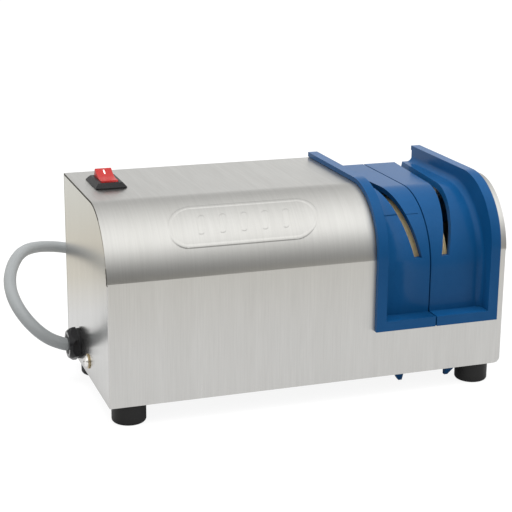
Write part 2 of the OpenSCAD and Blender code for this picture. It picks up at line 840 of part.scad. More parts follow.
// The tapered sleeve that grips the lead, inside the nut and the body
module gland_clamp() {
    color([0.2, 0.2, 0.2]) difference() {
        union() {
            translate([gland_x1, gland_y, gland_z]) rotate([0, 90, 0])
                cylinder(h = gland_out - 2, r = 8.2);
            translate([left_x - 2, gland_y, gland_z]) rotate([0, 90, 0])
                cylinder(h = 15, r1 = 7.6, r2 = 6.4);
        }
        rod_x(gland_x1 - 1, left_x + 14, cord_r, gland_y, gland_z);
    }
}

module power_cord() {
    color("darkgray") {
        swept_tube(lead_route, cord_r, 12);
        rod_x(gland_x1, left_x + 12.9, cord_r, gland_y, gland_z);
    }
}

module cord_coil() {
    color("darkgray") translate([coil_x, coil_y, 0]) rotate_extrude() {
        translate([coil_r - cord_d, cord_r]) square([2 * cord_d, cord_d]);
        translate([coil_r - cord_r, 0]) square([cord_d, 2 * cord_d]);
        for (x = [-cord_r, cord_r], z = [cord_r, 3 * cord_r]) {
            translate([coil_r + x, z]) circle(cord_r);
        }
    }
}

module cord_tail() {
    color("darkgray") rod_x(plug_x + 12, coil_x, cord_r, plug_y, plug_z);
}

module cord_tie() {
    x0 = coil_x + coil_r - cord_d - 1;
    x1 = coil_x + coil_r + cord_d + 1;
    color([0.1, 0.1, 0.1]) difference() {
        box([x0, coil_y - 5, 0], [x1, coil_y + 5, 2 * cord_d + 1]);
        box([x0 + 1.2, coil_y - 6, 0.4], [x1 - 1.2, coil_y + 6, 2 * cord_d]);
    }
}

// The moulded three-pin plug, lying beside the coil
module plug_body() {
    color([0.12, 0.12, 0.12]) translate([plug_x, plug_y, plug_z]) rotate([0, -90, 0]) difference() {
        rotate_extrude() polygon([[0, -14], [7, -14], [8.5, 0], [11, 2], [11.5, 16], [14.9, 22], [14.9, 32], [0, 32]]);
        translate([0, 0, -15]) cylinder(h = 3, r = cord_r);
    }
}

module plug_pins() {
    color("gold") translate([plug_x, plug_y, plug_z]) rotate([0, -90, 0]) {
        for (s = [-1, 1]) {
            translate([-4 - 0.75, s * 6.35 - 3.15, 28]) cube([1.5, 6.3, 21.5]);
        }
        translate([7.5, 0, 28]) cylinder(h = 24, r = 2.4);
    }
}

housing_shell();
base_tray();
housing_screws();
partition_plate();
partition_screws();
foot_front_left();
foot_front_right();
foot_back_left();
foot_back_right();
foot_screws();
foot_nuts();
guide_left_half();
guide_right_half();
guide_screws();
wheel_left();
wheel_right();
wheel_spacer();
wheel_flange_inner();
wheel_flange_outer();
shaft_nut();
motor_shaft();
motor_rotor();
cooling_fan();
shaft_seal();
bearing_left();
bearing_right();
stator_core();
stator_windings();
motor_end_bell_left();
motor_end_bell_right();
motor_tie_bolts();
motor_cradle();
mount_ring_left();
mount_ring_right();
cradle_screws();
run_capacitor();
capacitor_strap();
internal_leads();
switch_body();
switch_rocker();
switch_terminals();
gland_body();
gland_dome_nut();
gland_lock_nut();
gland_clamp();
power_cord();
cord_coil();
cord_tail();
cord_tie();
plug_body();
plug_pins();
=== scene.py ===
import json
import math

import bmesh
import bpy
from mathutils import Matrix, Vector


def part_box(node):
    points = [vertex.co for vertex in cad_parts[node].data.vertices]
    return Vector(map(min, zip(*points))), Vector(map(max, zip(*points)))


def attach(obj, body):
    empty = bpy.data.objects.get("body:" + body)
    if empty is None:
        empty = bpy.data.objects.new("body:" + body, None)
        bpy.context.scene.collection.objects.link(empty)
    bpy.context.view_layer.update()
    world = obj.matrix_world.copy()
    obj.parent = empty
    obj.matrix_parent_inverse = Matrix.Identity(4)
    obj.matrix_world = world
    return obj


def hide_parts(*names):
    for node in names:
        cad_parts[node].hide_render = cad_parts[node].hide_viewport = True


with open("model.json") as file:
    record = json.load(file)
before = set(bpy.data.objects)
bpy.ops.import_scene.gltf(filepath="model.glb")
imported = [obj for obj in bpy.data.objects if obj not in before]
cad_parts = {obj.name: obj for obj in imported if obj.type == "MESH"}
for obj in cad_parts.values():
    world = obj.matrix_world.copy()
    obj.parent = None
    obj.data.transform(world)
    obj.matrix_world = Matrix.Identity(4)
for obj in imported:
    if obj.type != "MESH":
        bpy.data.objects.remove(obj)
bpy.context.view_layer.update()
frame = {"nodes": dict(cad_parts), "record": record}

MM = 0.001
scene = bpy.context.scene
scene.view_settings.view_transform = "Standard"


# ---------------- camera

CAMERA_PLACE = (-0.3792, -1.0199, 0.4195)
CAMERA_YAW, CAMERA_PITCH, CAMERA_ROLL = math.radians(19.660), math.radians(15.991), math.radians(0.6456)
CAMERA_LENS = 96.89
CAMERA_SHIFT = (-0.0208, -0.0126)


def make_camera():
    """Looks down on the machine from its front left, at the height of a person at the worktop."""
    data = bpy.data.cameras.new("camera")
    data.sensor_width = 36
    data.lens = CAMERA_LENS
    data.shift_x, data.shift_y = CAMERA_SHIFT
    data.clip_start = 0.05
    data.clip_end = 60
    camera = bpy.data.objects.new("camera", data)
    scene.collection.objects.link(camera)
    level = Vector((math.sin(CAMERA_YAW), math.cos(CAMERA_YAW), 0))
    forward = level * math.cos(CAMERA_PITCH) - Vector((0, 0, math.sin(CAMERA_PITCH)))
    right = Vector((level.y, -level.x, 0))
    up = right.cross(forward)
    rolled_right = right * math.cos(CAMERA_ROLL) + up * math.sin(CAMERA_ROLL)
    rolled_up = up * math.cos(CAMERA_ROLL) - right * math.sin(CAMERA_ROLL)
    turn = Matrix((rolled_right, rolled_up, -forward)).transposed().to_4x4()
    camera.matrix_world = Matrix.Translation(CAMERA_PLACE) @ turn
    scene.camera = camera


make_camera()


# ---------------- sizes from the frame, in millimetres

def box_mm(node):
    low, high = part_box(node)
    return low / MM, high / MM


case_low, case_high = box_mm("housing_shell")
SHEET = 1.2
SHOULDER_R = 51.6
SHOULDER_Y = case_low.y + SHOULDER_R
SHOULDER_Z = case_high.z - SHOULDER_R
SCREW_Z = 29.7
SIDE_SCREW_Y = -1.0
BACK_SCREW_X = 120


# ---------------- materials

# A Mix node's colour sockets.
MIX_A, MIX_B, MIX_COLOUR = 6, 7, 2
STEEL_COLOUR = (0.54, 0.535, 0.521)


def shade(colour, factor):
    return tuple(c * factor for c in colour)


def calc(tree, operation, first, second=None):
    """Arithmetic on a value and a number or another value."""
    node = tree.nodes.new("ShaderNodeMath")
    node.operation = operation
    tree.links.new(first, node.inputs[0])
    if isinstance(second, (int, float)):
        node.inputs[1].default_value = second
    elif second is not None:
        tree.links.new(second, node.inputs[1])
    return node.outputs[0]


def colour_ramp(tree, value, stops):
    """Colours along a value from 0 to 1."""
    ramp = tree.nodes.new("ShaderNodeValToRGB")
    tree.links.new(value, ramp.inputs[0])
    band = ramp.color_ramp
    while len(band.elements) < len(stops):
        band.elements.new(0.5)
    for element, (position, colour) in zip(band.elements, stops):
        element.position = position
        element.color = (*colour, 1)
    return ramp.outputs["Color"]


class Look:
    """A material: one Principled shader, with layers of noise that vary its colour, roughness and
    relief."""

    def __init__(self, name, colour, rough, metal=0.0, specular=0.5):
        self.material = bpy.data.materials.new(name)
        self.material.use_nodes = True
        self.tree = self.material.node_tree
        self.shader = self.tree.nodes["Principled BSDF"]
        self.shader.inputs["Metallic"].default_value = metal
        self.shader.inputs["Roughness"].default_value = rough
        self.shader.inputs["Specular IOR Level"].default_value = specular
        self.shader.inputs["Base Color"].default_value = (*colour, 1)
        self.colour = (*colour, 1)
        self.rough = rough
        self.colour_out = None
        self.rough_out = None
        self.bump_out = None
        self.place = self.tree.nodes.new("ShaderNodeTexCoord")

    def link(self, source, target):
        self.tree.links.new(source, target)

    def coords(self, stretch=(1, 1, 1)):
        mapping = self.tree.nodes.new("ShaderNodeMapping")
        mapping.inputs["Scale"].default_value = stretch
        self.link(self.place.outputs["Object"], mapping.inputs["Vector"])
        return mapping.outputs["Vector"]

    def noise(self, scale, detail=3, rough=0.5, stretch=(1, 1, 1)):
        """Noise with features 1/scale metres across, squeezed along each axis by stretch."""
        node = self.tree.nodes.new("ShaderNodeTexNoise")
        node.inputs["Scale"].default_value = scale
        node.inputs["Detail"].default_value = detail
        node.inputs["Roughness"].default_value = rough
        self.link(self.coords(stretch), node.inputs["Vector"])
        return node.outputs["Fac"]

    def cells(self, scale):
        node = self.tree.nodes.new("ShaderNodeTexVoronoi")
        node.inputs["Scale"].default_value = scale
        self.link(self.coords(), node.inputs["Vector"])
        return node.outputs["Distance"]

    def waves(self, kind, scale):
        """Bands or rings that repeat along X."""
        node = self.tree.nodes.new("ShaderNodeTexWave")
        node.wave_type = kind
        node.bands_direction = "X"
        node.rings_direction = "X"
        node.inputs["Scale"].default_value = scale
        self.link(self.coords(), node.inputs["Vector"])
        return node.outputs["Fac"]

    def span(self, value, low, high, to_low=0.0, to_high=1.0):
        """Stretches the part of a value between low and high to another range."""
        node = self.tree.nodes.new("ShaderNodeMapRange")
        node.inputs["From Min"].default_value = low
        node.inputs["From Max"].default_value = high
        node.inputs["To Min"].default_value = to_low
        node.inputs["To Max"].default_value = to_high
        self.link(value, node.inputs["Value"])
        return node.outputs["Result"]

    def tint(self, value, low, high, amount, colour):
        """Blends the colour so far with another, by up to amount as the value goes from low to high."""
        node = self.tree.nodes.new("ShaderNodeMix")
        node.data_type = "RGBA"
        node.inputs[MIX_B].default_value = (*colour, 1)
        if self.colour_out is None:
            node.inputs[MIX_A].default_value = self.colour
        else:
            self.link(self.colour_out, node.inputs[MIX_A])
        self.link(self.span(value, low, high, 0, amount), node.inputs["Factor"])
        self.colour_out = node.outputs[MIX_COLOUR]
        return self

    def roughen(self, value, amount):
        """Adds amount times (value - 0.5) to the roughness."""
        node = self.tree.nodes.new("ShaderNodeMath")
        node.operation = "MULTIPLY_ADD"
        self.link(value, node.inputs[0])
        node.inputs[1].default_value = amount
        if self.rough_out is None:
            node.inputs[2].default_value = self.rough - amount / 2
        else:
            self.link(self.rough_out, node.inputs[2])
        self.rough_out = node.outputs[0]
        return self

    def relief(self, value, depth_mm, strength=1.0):
        """Bumps the surface by depth_mm where the value goes from 0 to 1."""
        node = self.tree.nodes.new("ShaderNodeBump")
        node.inputs["Strength"].default_value = strength
        node.inputs["Distance"].default_value = depth_mm * MM
        self.link(value, node.inputs["Height"])
        if self.bump_out is not None:
            self.link(self.bump_out, node.inputs["Normal"])
        self.bump_out = node.outputs["Normal"]
        return self

    def brushed(self, axis):
        """Stretches the gloss across the grain, which runs round the given axis."""
        node = self.tree.nodes.new("ShaderNodeTangent")
        node.direction_type = "RADIAL"
        node.axis = axis
        self.shader.inputs["Anisotropic"].default_value = 0.8
        self.shader.inputs["Anisotropic Rotation"].default_value = 0.25
        self.link(node.outputs["Tangent"], self.shader.inputs["Tangent"])
        return self

    def coat(self, weight, rough, index):
        self.shader.inputs["Coat Weight"].default_value = weight
        self.shader.inputs["Coat Roughness"].default_value = rough
        self.shader.inputs["Coat IOR"].default_value = index
        return self

    def done(self):
        if self.colour_out is not None:
            self.link(self.colour_out, self.shader.inputs["Base Color"])
        if self.rough_out is not None:
            self.link(self.rough_out, self.shader.inputs["Roughness"])
        if self.bump_out is not None:
            self.link(self.bump_out, self.shader.inputs["Normal"])
        return self.material


def stainless(name, grain, tangent_axis, level=1.0, rough=0.25, coarse=1.0):
    """Brushed sheet. grain squeezes the noise on each axis, so that it runs along the brush marks.
    level darkens the sheet, and coarse scales its unevenness."""
    look = Look(name, shade(STEEL_COLOUR, level), rough, metal=1.0)
    fine = look.noise(900, 2, 0.6, grain)
    streaks = look.noise(170, 3, 0.6, grain)
    broad = look.noise(38, 2, 0.5, grain)
    clouds = look.noise(14, 2, 0.5)
    look.tint(fine, 0.38, 0.66, 0.45, shade(STEEL_COLOUR, level * 0.86))
    look.tint(streaks, 0.35, 0.75, 0.35, shade((0.49, 0.485, 0.47), level))
    look.tint(broad, 0.35, 0.7, 0.14, shade((0.59, 0.59, 0.58), level))
    look.tint(clouds, 0.4, 0.8, 0.10, shade((0.505, 0.49, 0.46), level))
    look.roughen(streaks, 0.10 * coarse).roughen(fine, 0.08 * coarse).roughen(clouds, 0.04 * coarse)
    look.relief(fine, 0.010 * coarse, 0.5).relief(streaks, 0.012 * coarse, 0.35)
    look.brushed(tangent_axis)
    return look.done()


def moulded(name, colour, rough, grain_mm, depth_mm, lift, specular=0.5, gloss=None):
    """Injection-moulded plastic: a fine sparked texture, faint flow marks and slightly uneven gloss.
    lift is how far the flow marks go paler, and gloss is a clear coat's weight, roughness and index."""
    look = Look(name, colour, rough, specular=specular)
    sparked = look.noise(1000 / grain_mm, 3, 0.6)
    flow = look.noise(22, 3, 0.55, (1, 1, 0.5))
    dust = look.noise(260, 4, 0.7)
    lighter = tuple(min(1, c * (1 + lift) + 0.004) for c in colour)
    darker = shade(colour, 1 - lift * 0.6)
    look.tint(flow, 0.35, 0.75, 1, lighter)
    look.tint(dust, 0.5, 0.8, 0.5, darker)
    look.roughen(flow, 0.10).roughen(sparked, 0.08)
    look.relief(sparked, depth_mm, 0.6)
    if gloss:
        look.coat(*gloss)
    return look.done()


def rubber(name, colour, rough):
    """Moulded rubber with fine pores and paler scuffs."""
    look = Look(name, colour, rough, specular=0.22)
    pores = look.noise(2200, 3, 0.6)
    scuffs = look.noise(60, 5, 0.75)
    look.tint(scuffs, 0.55, 0.8, 0.5, tuple(c * 1.8 + 0.01 for c in colour))
    look.roughen(scuffs, 0.18)
    look.relief(pores, 0.02, 0.6)
    return look.done()


def plain_metal(name, colour, rough, rings=0, cast=False):
    """Metal that isn't the housing's: turned with fine rings, rolled sheet, or cast."""
    look = Look(name, colour, rough, metal=1.0)
    clouds = look.noise(55, 4, 0.6)
    fine = look.noise(1500, 2, 0.5)
    look.tint(clouds, 0.35, 0.75, 0.6, shade(colour, 0.82))
    look.roughen(clouds, 0.14).roughen(fine, 0.08)
    if rings:
        look.relief(look.waves("RINGS", rings), 0.012, 0.5)
    look.relief(look.noise(420 if cast else 1500, 4, 0.7), 0.09 if cast else 0.008, 0.6)
    return look.done()


def abrasive():
    """Bonded grit: sharp grains a third of a millimetre across, in a paler bond with darker specks."""
    look = Look("abrasive", (0.52, 0.42, 0.235), 0.88, specular=0.25)
    grains = look.cells(2600)
    specks = look.noise(1700, 3, 0.7)
    patches = look.noise(90, 3, 0.6)
    look.tint(grains, 0.15, 0.6, 0.7, (0.66, 0.55, 0.33))
    look.tint(specks, 0.56, 0.72, 0.8, (0.23, 0.165, 0.10))
    look.tint(patches, 0.45, 0.75, 0.5, (0.42, 0.32, 0.19))
    look.relief(grains, 0.25, 0.8).relief(specks, 0.12, 0.6)
    return look.done()


def laminations():
    """The edges of stacked steel plates, with stains."""
    look = Look("laminations", (0.30, 0.31, 0.33), 0.42, metal=1.0)
    plates = look.waves("BANDS", 320)
    stains = look.noise(70, 4, 0.65)
    look.tint(plates, 0.2, 0.8, 0.6, (0.16, 0.165, 0.18))
    look.tint(stains, 0.55, 0.8, 0.6, (0.30, 0.22, 0.16))
    look.roughen(stains, 0.2)
    look.relief(plates, 0.12, 0.8)
    return look.done()


def windings():
    """Lacquered copper wire, turn beside turn."""
    look = Look("windings", (0.55, 0.24, 0.10), 0.28, metal=0.6)
    turns = look.waves("RINGS", 420)
    lacquer = look.noise(140, 4, 0.6)
    look.tint(turns, 0.1, 0.7, 0.7, (0.30, 0.11, 0.04))
    look.tint(lacquer, 0.5, 0.8, 0.5, (0.62, 0.36, 0.15))
    look.relief(turns, 0.3, 0.9)
    look.coat(0.5, 0.15, 1.5)
    return look.done()


STEEL_WRAP = stainless("stainless_wrap", (1.0, 0.03, 0.03), "X")
# The end panels' sheet: its grain and finish are its own, but its level of 0.88, darker than the wrap, is
# painted shade.
STEEL_END = stainless("stainless_end", (0.03, 1.0, 0.03), "Y", 0.88, 0.11, 0.5)
# Dark dull steel for cut edges: partly the edges' own tone, partly painted shade for the shadowed gap of
# the seam under the folded sheet.
CUT_EDGE_AND_SEAM_SHADE = plain_metal("cut_edge_and_seam_shade", (0.10, 0.095, 0.085), 0.6)
BLUE = moulded("guide_blue", (0.003, 0.051, 0.150), 0.33, 0.5, 0.010, 0.14, 0.03, (0.42, 0.16, 1.28))
GLOSS_BLACK = moulded("gloss_black", (0.006, 0.006, 0.007), 0.13, 0.8, 0.004, 0.4, 0.22)
YELLOW_ZINC = plain_metal("yellow_zinc", (0.50, 0.40, 0.24), 0.3)
WHITE_INK = moulded("white_ink", (0.78, 0.77, 0.74), 0.5, 0.4, 0.004, 0.05, 0.4)
# The other looks, by the material slot of the CAD nodes.
LOOKS = {
    "zinc_sheet": plain_metal("zinc_sheet", (0.60, 0.62, 0.63), 0.38),
    "foot_rubber": rubber("foot_rubber", (0.012, 0.012, 0.012), 0.48),
    "abrasive": abrasive(),
    "seal_rubber": rubber("seal_rubber", (0.02, 0.02, 0.02), 0.6),
    "motor_steel": laminations(),
    "copper_winding": windings(),
    "cast_aluminium": plain_metal("cast_aluminium", (0.62, 0.63, 0.64), 0.5, cast=True),
    "turned_steel": plain_metal("turned_steel", (0.62, 0.62, 0.63), 0.25, rings=700),
    "white_plastic": moulded("white_plastic", (0.70, 0.70, 0.67), 0.45, 0.6, 0.02, 0.05),
    "rocker_plastic": moulded("rocker_red", (0.30, 0.008, 0.007), 0.30, 0.4, 0.004, 0.08, 0.40),
    "black_plastic": moulded("black_plastic", (0.008, 0.008, 0.009), 0.40, 1.1, 0.12, 0.7, 0.24),
    "brass_contacts": plain_metal("brass_contacts", (0.78, 0.58, 0.28), 0.3),
    "cord_sheath": moulded("cord_grey", (0.212, 0.223, 0.228), 0.48, 0.9, 0.02, 0.08),
    "wire_insulation": moulded("wire_insulation", (0.22, 0.09, 0.035), 0.4, 0.6, 0.01, 0.2),
    "plug_plastic": moulded("plug_black", (0.02, 0.02, 0.021), 0.5, 0.5, 0.03, 0.4),
    "plated_screws": plain_metal("plated_screws", (0.74, 0.73, 0.71), 0.16),
}


# ---------------- making pieces

def piece(name, bm, materials, body="machine", smooth=30):
    """A mesh in millimetres becomes an object in metres that rides on a body. Its faces look smooth
    where they meet at less than the angle."""
    bmesh.ops.recalc_face_normals(bm, faces=bm.faces)
    mesh = bpy.data.meshes.new(name)
    bm.to_mesh(mesh)
    bm.free()
    mesh.transform(Matrix.Scale(MM, 4))
    for material in materials:
        mesh.materials.append(material)
    for p in mesh.polygons:
        p.use_smooth = True
    mesh.set_sharp_from_angle(angle=math.radians(smooth))
    made = bpy.data.objects.new(name, mesh)
    scene.collection.objects.link(made)
    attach(made, body)
    return made


def add_bevel(made, width, segments, angle):
    """Rounds the edges sharper than the angle."""
    bevel = made.modifiers.new("edges", "BEVEL")
    bevel.width = width
    bevel.segments = segments
    bevel.limit_method = "ANGLE"
    bevel.angle_limit = math.radians(angle)
    bevel.use_clamp_overlap = True


def soften(made, width_mm, segments, angle):
    """Rounds the edges sharper than the angle, and keeps flat faces flat."""
    add_bevel(made, width_mm * MM, segments, angle)
    normals = made.modifiers.new("shading", "WEIGHTED_NORMAL")
    normals.weight = 60
    normals.keep_sharp = False
    return made


def dress(node, width_mm):
    """A CAD node keeps its shape and gets its material and soft edges."""
    made = frame["nodes"][node]
    slot = next(s["material_slot"] for s in frame["record"]["subparts"] if s["node"] == node)
    made.data.materials.clear()
    made.data.materials.append(LOOKS[slot])
    for p in made.data.polygons:
        p.use_smooth = True
    weld = made.modifiers.new("weld", "WELD")
    weld.merge_threshold = 0.000002
    flat = made.modifiers.new("flat", "DECIMATE")
    flat.decimate_type = "DISSOLVE"
    flat.angle_limit = math.radians(0.4)
    soften(made, width_mm, 2, 30)


def grid_faces(bm, rows, close=False):
    """Quads between neighbouring rows of vertices."""
    for first, second in zip(rows, rows[1:]):
        count = len(first)
        for i in range(count if close else count - 1):
            j = (i + 1) % count
            bm.faces.new((first[i], first[j], second[j], second[i]))


def tube(bm, rows):
    """A closed band of rows, the last joined to the first, with a face over each end."""
    grid_faces(bm, [*rows, rows[0]])
    bm.faces.new([row[0] for row in rows])
    bm.faces.new([row[-1] for row in rows][::-1])


def prism(bm, outline, low, high, axis="X"):
    """An outline pulled along an axis. On X it is drawn in (y, z), on Y in (x, z), on Z in (x, y)."""
    def place(point, depth):
        a, b = point
        return {"X": (depth, a, b), "Y": (a, depth, b), "Z": (a, b, depth)}[axis]

    first = [bm.verts.new(place(p, low)) for p in outline]
    last = [bm.verts.new(place(p, high)) for p in outline]
    bm.faces.new(first)
    bm.faces.new(last[::-1])
    grid_faces(bm, [first, last], close=True)


def lathe(bm, profile, centre, axis="Z", steps=48):
    """A profile of (radius, height) turned round an axis. A radius of 0 at either end closes it."""
    def place(radius, height, angle):
        a, b = radius * math.cos(angle), radius * math.sin(angle)
        offset = {"X": (height, a, b), "Y": (b, height, a), "Z": (a, b, height)}[axis]
        return Vector(centre) + Vector(offset)

    rows = []
    for radius, height in profile:
        if radius == 0:
            rows.append([bm.verts.new(place(0, height, 0))])
        else:
            rows.append([bm.verts.new(place(radius, height, math.tau * k / steps))
                         for k in range(steps)])
    for first, second in zip(rows, rows[1:]):
        for k in range(steps):
            j = (k + 1) % steps
            if len(first) == 1:
                bm.faces.new((first[0], second[j], second[k]))
            elif len(second) == 1:
                bm.faces.new((first[k], first[j], second[0]))
            else:
                bm.faces.new((first[k], first[j], second[j], second[k]))


def arc(centre, radius, start, end, steps):
    """Points on an arc in the plane, from one angle in degrees to another."""
    angles = [math.radians(start + (end - start) * k / steps) for k in range(steps + 1)]
    return [(centre[0] + radius * math.cos(a), centre[1] + radius * math.sin(a)) for a in angles]


def drill(bm, radius, place, axis, low=-3, high=3, steps=24):
    """A round hole's space about a place, from low to high along the axis."""
    lathe(bm, [(0, low), (radius, low), (radius, high), (0, high)], place, axis, steps)


def rounded_box(low_x, low_y, high_x, high_y, radius, steps=6):
    """The outline of a rectangle with round corners."""
    corners = [(high_x, high_y, 0), (low_x, high_y, 90), (low_x, low_y, 180), (high_x, low_y, 270)]
    points = []
    for x, y, start in corners:
        centre = (x - radius if x == high_x else x + radius, y - radius if y == high_y else y + radius)
        points += arc(centre, radius, start, start + 90, steps)
    return points


def temporary(bm):
    """A mesh object used only to cut or join."""
    bmesh.ops.recalc_face_normals(bm, faces=bm.faces)
    mesh = bpy.data.meshes.new("tool")
    bm.to_mesh(mesh)
    bm.free()
    made = bpy.data.objects.new("tool", mesh)
    scene.collection.objects.link(made)
    return made


def worked(main, *tools):
    """A temporary object's mesh with its modifiers applied. The object and its tools go."""
    graph = bpy.context.evaluated_depsgraph_get()
    result = bmesh.new()
    result.from_mesh(main.evaluated_get(graph).to_mesh())
    for made in (main, *tools):
        mesh = made.data
        bpy.data.objects.remove(made)
        bpy.data.meshes.remove(mesh)
    return result


def combine(bm, tool_bm, how):
    """The union or difference of two meshes, as a new mesh."""
    main, tool = temporary(bm), temporary(tool_bm)
    step = main.modifiers.new("combine", "BOOLEAN")
    step.object = tool
    step.operation = how
    step.solver = "EXACT"
    return worked(main, tool)


def bevelled(bm, width, segments, angle):
    """A mesh in millimetres with its edges rounded for good, so that fine cuts can follow."""
    made = temporary(bm)
    add_bevel(made, width, segments, angle)
    return worked(made)


# ---------------- mains lead

CORD_D = 0.0105
LEAD_ROUTE = [
    (-0.174, 0.038, 0.0315), (-0.181, 0.038, 0.0325), (-0.188, 0.0395, 0.0355), (-0.195, 0.042, 0.041),
    (-0.201, 0.046, 0.047), (-0.206, 0.051, 0.053), (-0.210, 0.059, 0.059), (-0.212, 0.068, 0.064),
    (-0.213, 0.079, 0.068), (-0.211, 0.096, 0.072), (-0.208, 0.109, 0.074), (-0.204, 0.124, 0.075),
    (-0.198, 0.142, 0.076), (-0.192, 0.163, 0.075), (-0.184, 0.185, 0.0725), (-0.174, 0.204, 0.069),
    (-0.165, 0.219, 0.065), (-0.154, 0.234, 0.0605), (-0.142, 0.247, 0.056), (-0.128, 0.257, 0.051),
    (-0.112, 0.264, 0.0445), (-0.094, 0.267, 0.0365), (-0.076, 0.2665, 0.0275), (-0.058, 0.263, 0.0185),
    (-0.042, 0.258, 0.011), (-0.028, 0.254, 0.0065),
]
COIL_LOW, COIL_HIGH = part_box("cord_coil")
COIL_X = (COIL_LOW.x + COIL_HIGH.x) / 2
COIL_Y = (COIL_LOW.y + COIL_HIGH.y) / 2
COIL_R = COIL_HIGH.x - COIL_X - CORD_D
COIL_LIFT = 0.0002
COIL_TURNS = 3.5
POINTS_PER_TURN = 28
POINTS_PER_CHANGE = 5
PLUG_Z = 0.015
PLUG_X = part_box("plug_body")[1].x - 0.014


def coil_points():
    """Clockwise turns: outer and low, inner and low, inner and high, and a half one outer and high."""
    outer, inner = COIL_R + CORD_D / 2, COIL_R - CORD_D / 2
    low, high = CORD_D / 2 + COIL_LIFT, CORD_D * 1.5 + COIL_LIFT
    stages = [(outer, low), (inner, low), (inner, high), (outer, high)]
    points = []
    for k in range(int(POINTS_PER_TURN * COIL_TURNS) + 1):
        turn, step = divmod(k, POINTS_PER_TURN)
        radius, height = stages[turn]
        late = step - POINTS_PER_TURN + POINTS_PER_CHANGE
        if late > 0 and turn < 3:
            share = late / POINTS_PER_CHANGE
            share = share * share * (3 - 2 * share)
            radius += (stages[turn + 1][0] - radius) * share
            height += (stages[turn + 1][1] - height) * share
        angle = math.pi / 2 - math.tau * k / POINTS_PER_TURN
        points.append((COIL_X + radius * math.cos(angle), COIL_Y + radius * math.sin(angle), height))
    return points


def smoothed(points, rounds):
    """Evens out a route's bends without moving its ends."""
    route = [Vector(p) for p in points]
    for _ in range(rounds):
        between = [(a + b * 2 + c) / 4 for a, b, c in zip(route, route[1:], route[2:])]
        route = [route[0], *between, route[-1]]
    return [tuple(p) for p in route]


def make_lead():
    """The whole lead is one smooth curve, from inside the gland to inside the plug."""
    inside = [(-0.153, 0.038, 0.0315), (-0.164, 0.038, 0.0315)]
    coil = coil_points()
    end_y = coil[-1][1]
    tail = [(COIL_X - 0.012, end_y, CORD_D * 1.47), (COIL_X - 0.026, end_y, PLUG_Z),
            (PLUG_X + 0.012, end_y, PLUG_Z)]
    points = inside + smoothed(LEAD_ROUTE, 3) + coil + tail
    curve = bpy.data.curves.new("mains_lead", "CURVE")
    curve.dimensions = "3D"
    curve.bevel_depth = CORD_D / 2
    curve.bevel_resolution = 6
    curve.resolution_u = 6
    curve.use_fill_caps = True
    spline = curve.splines.new("BEZIER")
    spline.bezier_points.add(len(points) - 1)
    for knot, place in zip(spline.bezier_points, points):
        knot.co = place
        knot.handle_left_type = "AUTO"
        knot.handle_right_type = "AUTO"
    curve.materials.append(LOOKS["cord_sheath"])
    lead = bpy.data.objects.new("mains_lead", curve)
    scene.collection.objects.link(lead)
    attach(lead, "machine")
    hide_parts("power_cord", "cord_coil", "cord_tail")
    return lead


lead = make_lead()


# ---------------- housing

# The emboss. Its middle is a distance along the shoulder's curve.
EMBOSS_X = -54
EMBOSS_HALF = 42
EMBOSS_R = 17
EMBOSS_MIDDLE = 40.1
EMBOSS_HEIGHT = 0.3
EMBOSS_SLANT = 0.18
EMBOSS_SLOPE = 0.9
RING_R = 1.2
BAR_PITCH = 17
BAR_HALF = 5.5
BAR_R = 2.6
FINE_STEP = 0.5
# The sheet, and the gap between it and the end panels.
RELIEF_Z = SHOULDER_Z - 1.5
SHOULDER_STEPS = 150
CREASE_ANGLE = math.radians(5)
BACK_BEND_R = 2.2
FRONT_BEND_R = 1.9
SEAM = 0.6
SEAM_DEPTH = 0.75
SLIT_TOP = SHOULDER_Z + 11
# The cuts.
WINDOW_SIDE = 4.1
WINDOW_FRONT_Z = 60.4
WINDOW_BACK_Z = 102
VENT_COUNT = 10
VENT_X, VENT_PITCH, VENT_W = -110, 14, 6
VENT_LOW, VENT_HIGH = 116, 140
CORNER_R = 6
SWITCH_HOLE_X, SWITCH_HOLE_Y = 10.6, 15.1
GLAND_HOLE_R = 10.1
SCREW_HOLE_R = 2.7
# The material slots. The last is dark steel for cut edges, partly their own dull tone and partly painted
# shade of the seam's gap.
WRAP, END, CUT_AND_SEAM_SHADE = 0, 1, 2


def emboss_height(x, along):
    """A raised oblong ring round five short raised bars, formed in the shoulder."""
    s = x - EMBOSS_X
    t = along - EMBOSS_MIDDLE
    s -= EMBOSS_SLANT * t
    ring = abs(math.hypot(max(abs(s) - EMBOSS_HALF, 0), t) - EMBOSS_R) - RING_R
    nearest = max(-2, min(2, round(s / BAR_PITCH)))
    bar = math.hypot(s - nearest * BAR_PITCH, max(abs(t) - BAR_HALF, 0)) - BAR_R
    depth = min(1.0, max(0.0, 0.5 - min(ring, bar) / EMBOSS_SLOPE))
    return EMBOSS_HEIGHT * depth * depth * (3 - 2 * depth)


def shoulder_point(t):
    """A point on the shoulder and its outward normal, in (y, z). The curve starts a little off the
    front, which leaves a faint crease there, and ends level with the top."""
    knots = [Vector((0, 0)), Vector((math.sin(CREASE_ANGLE), math.cos(CREASE_ANGLE))) * 27,
             Vector((SHOULDER_R - 28.5, SHOULDER_R)), Vector((SHOULDER_R, SHOULDER_R))]
    u = 1 - t
    point = knots[0] * u ** 3 + knots[1] * 3 * u * u * t + knots[2] * 3 * u * t * t + knots[3] * t ** 3
    first, middle, last = (b - a for a, b in zip(knots, knots[1:]))
    run = first * u * u + middle * 2 * u * t + last * t * t
    run.normalize()
    return point + Vector((case_low.y, SHOULDER_Z)), Vector((-run.y, run.x))


SHOULDER_LINE = [shoulder_point(k / SHOULDER_STEPS) for k in range(SHOULDER_STEPS + 1)]


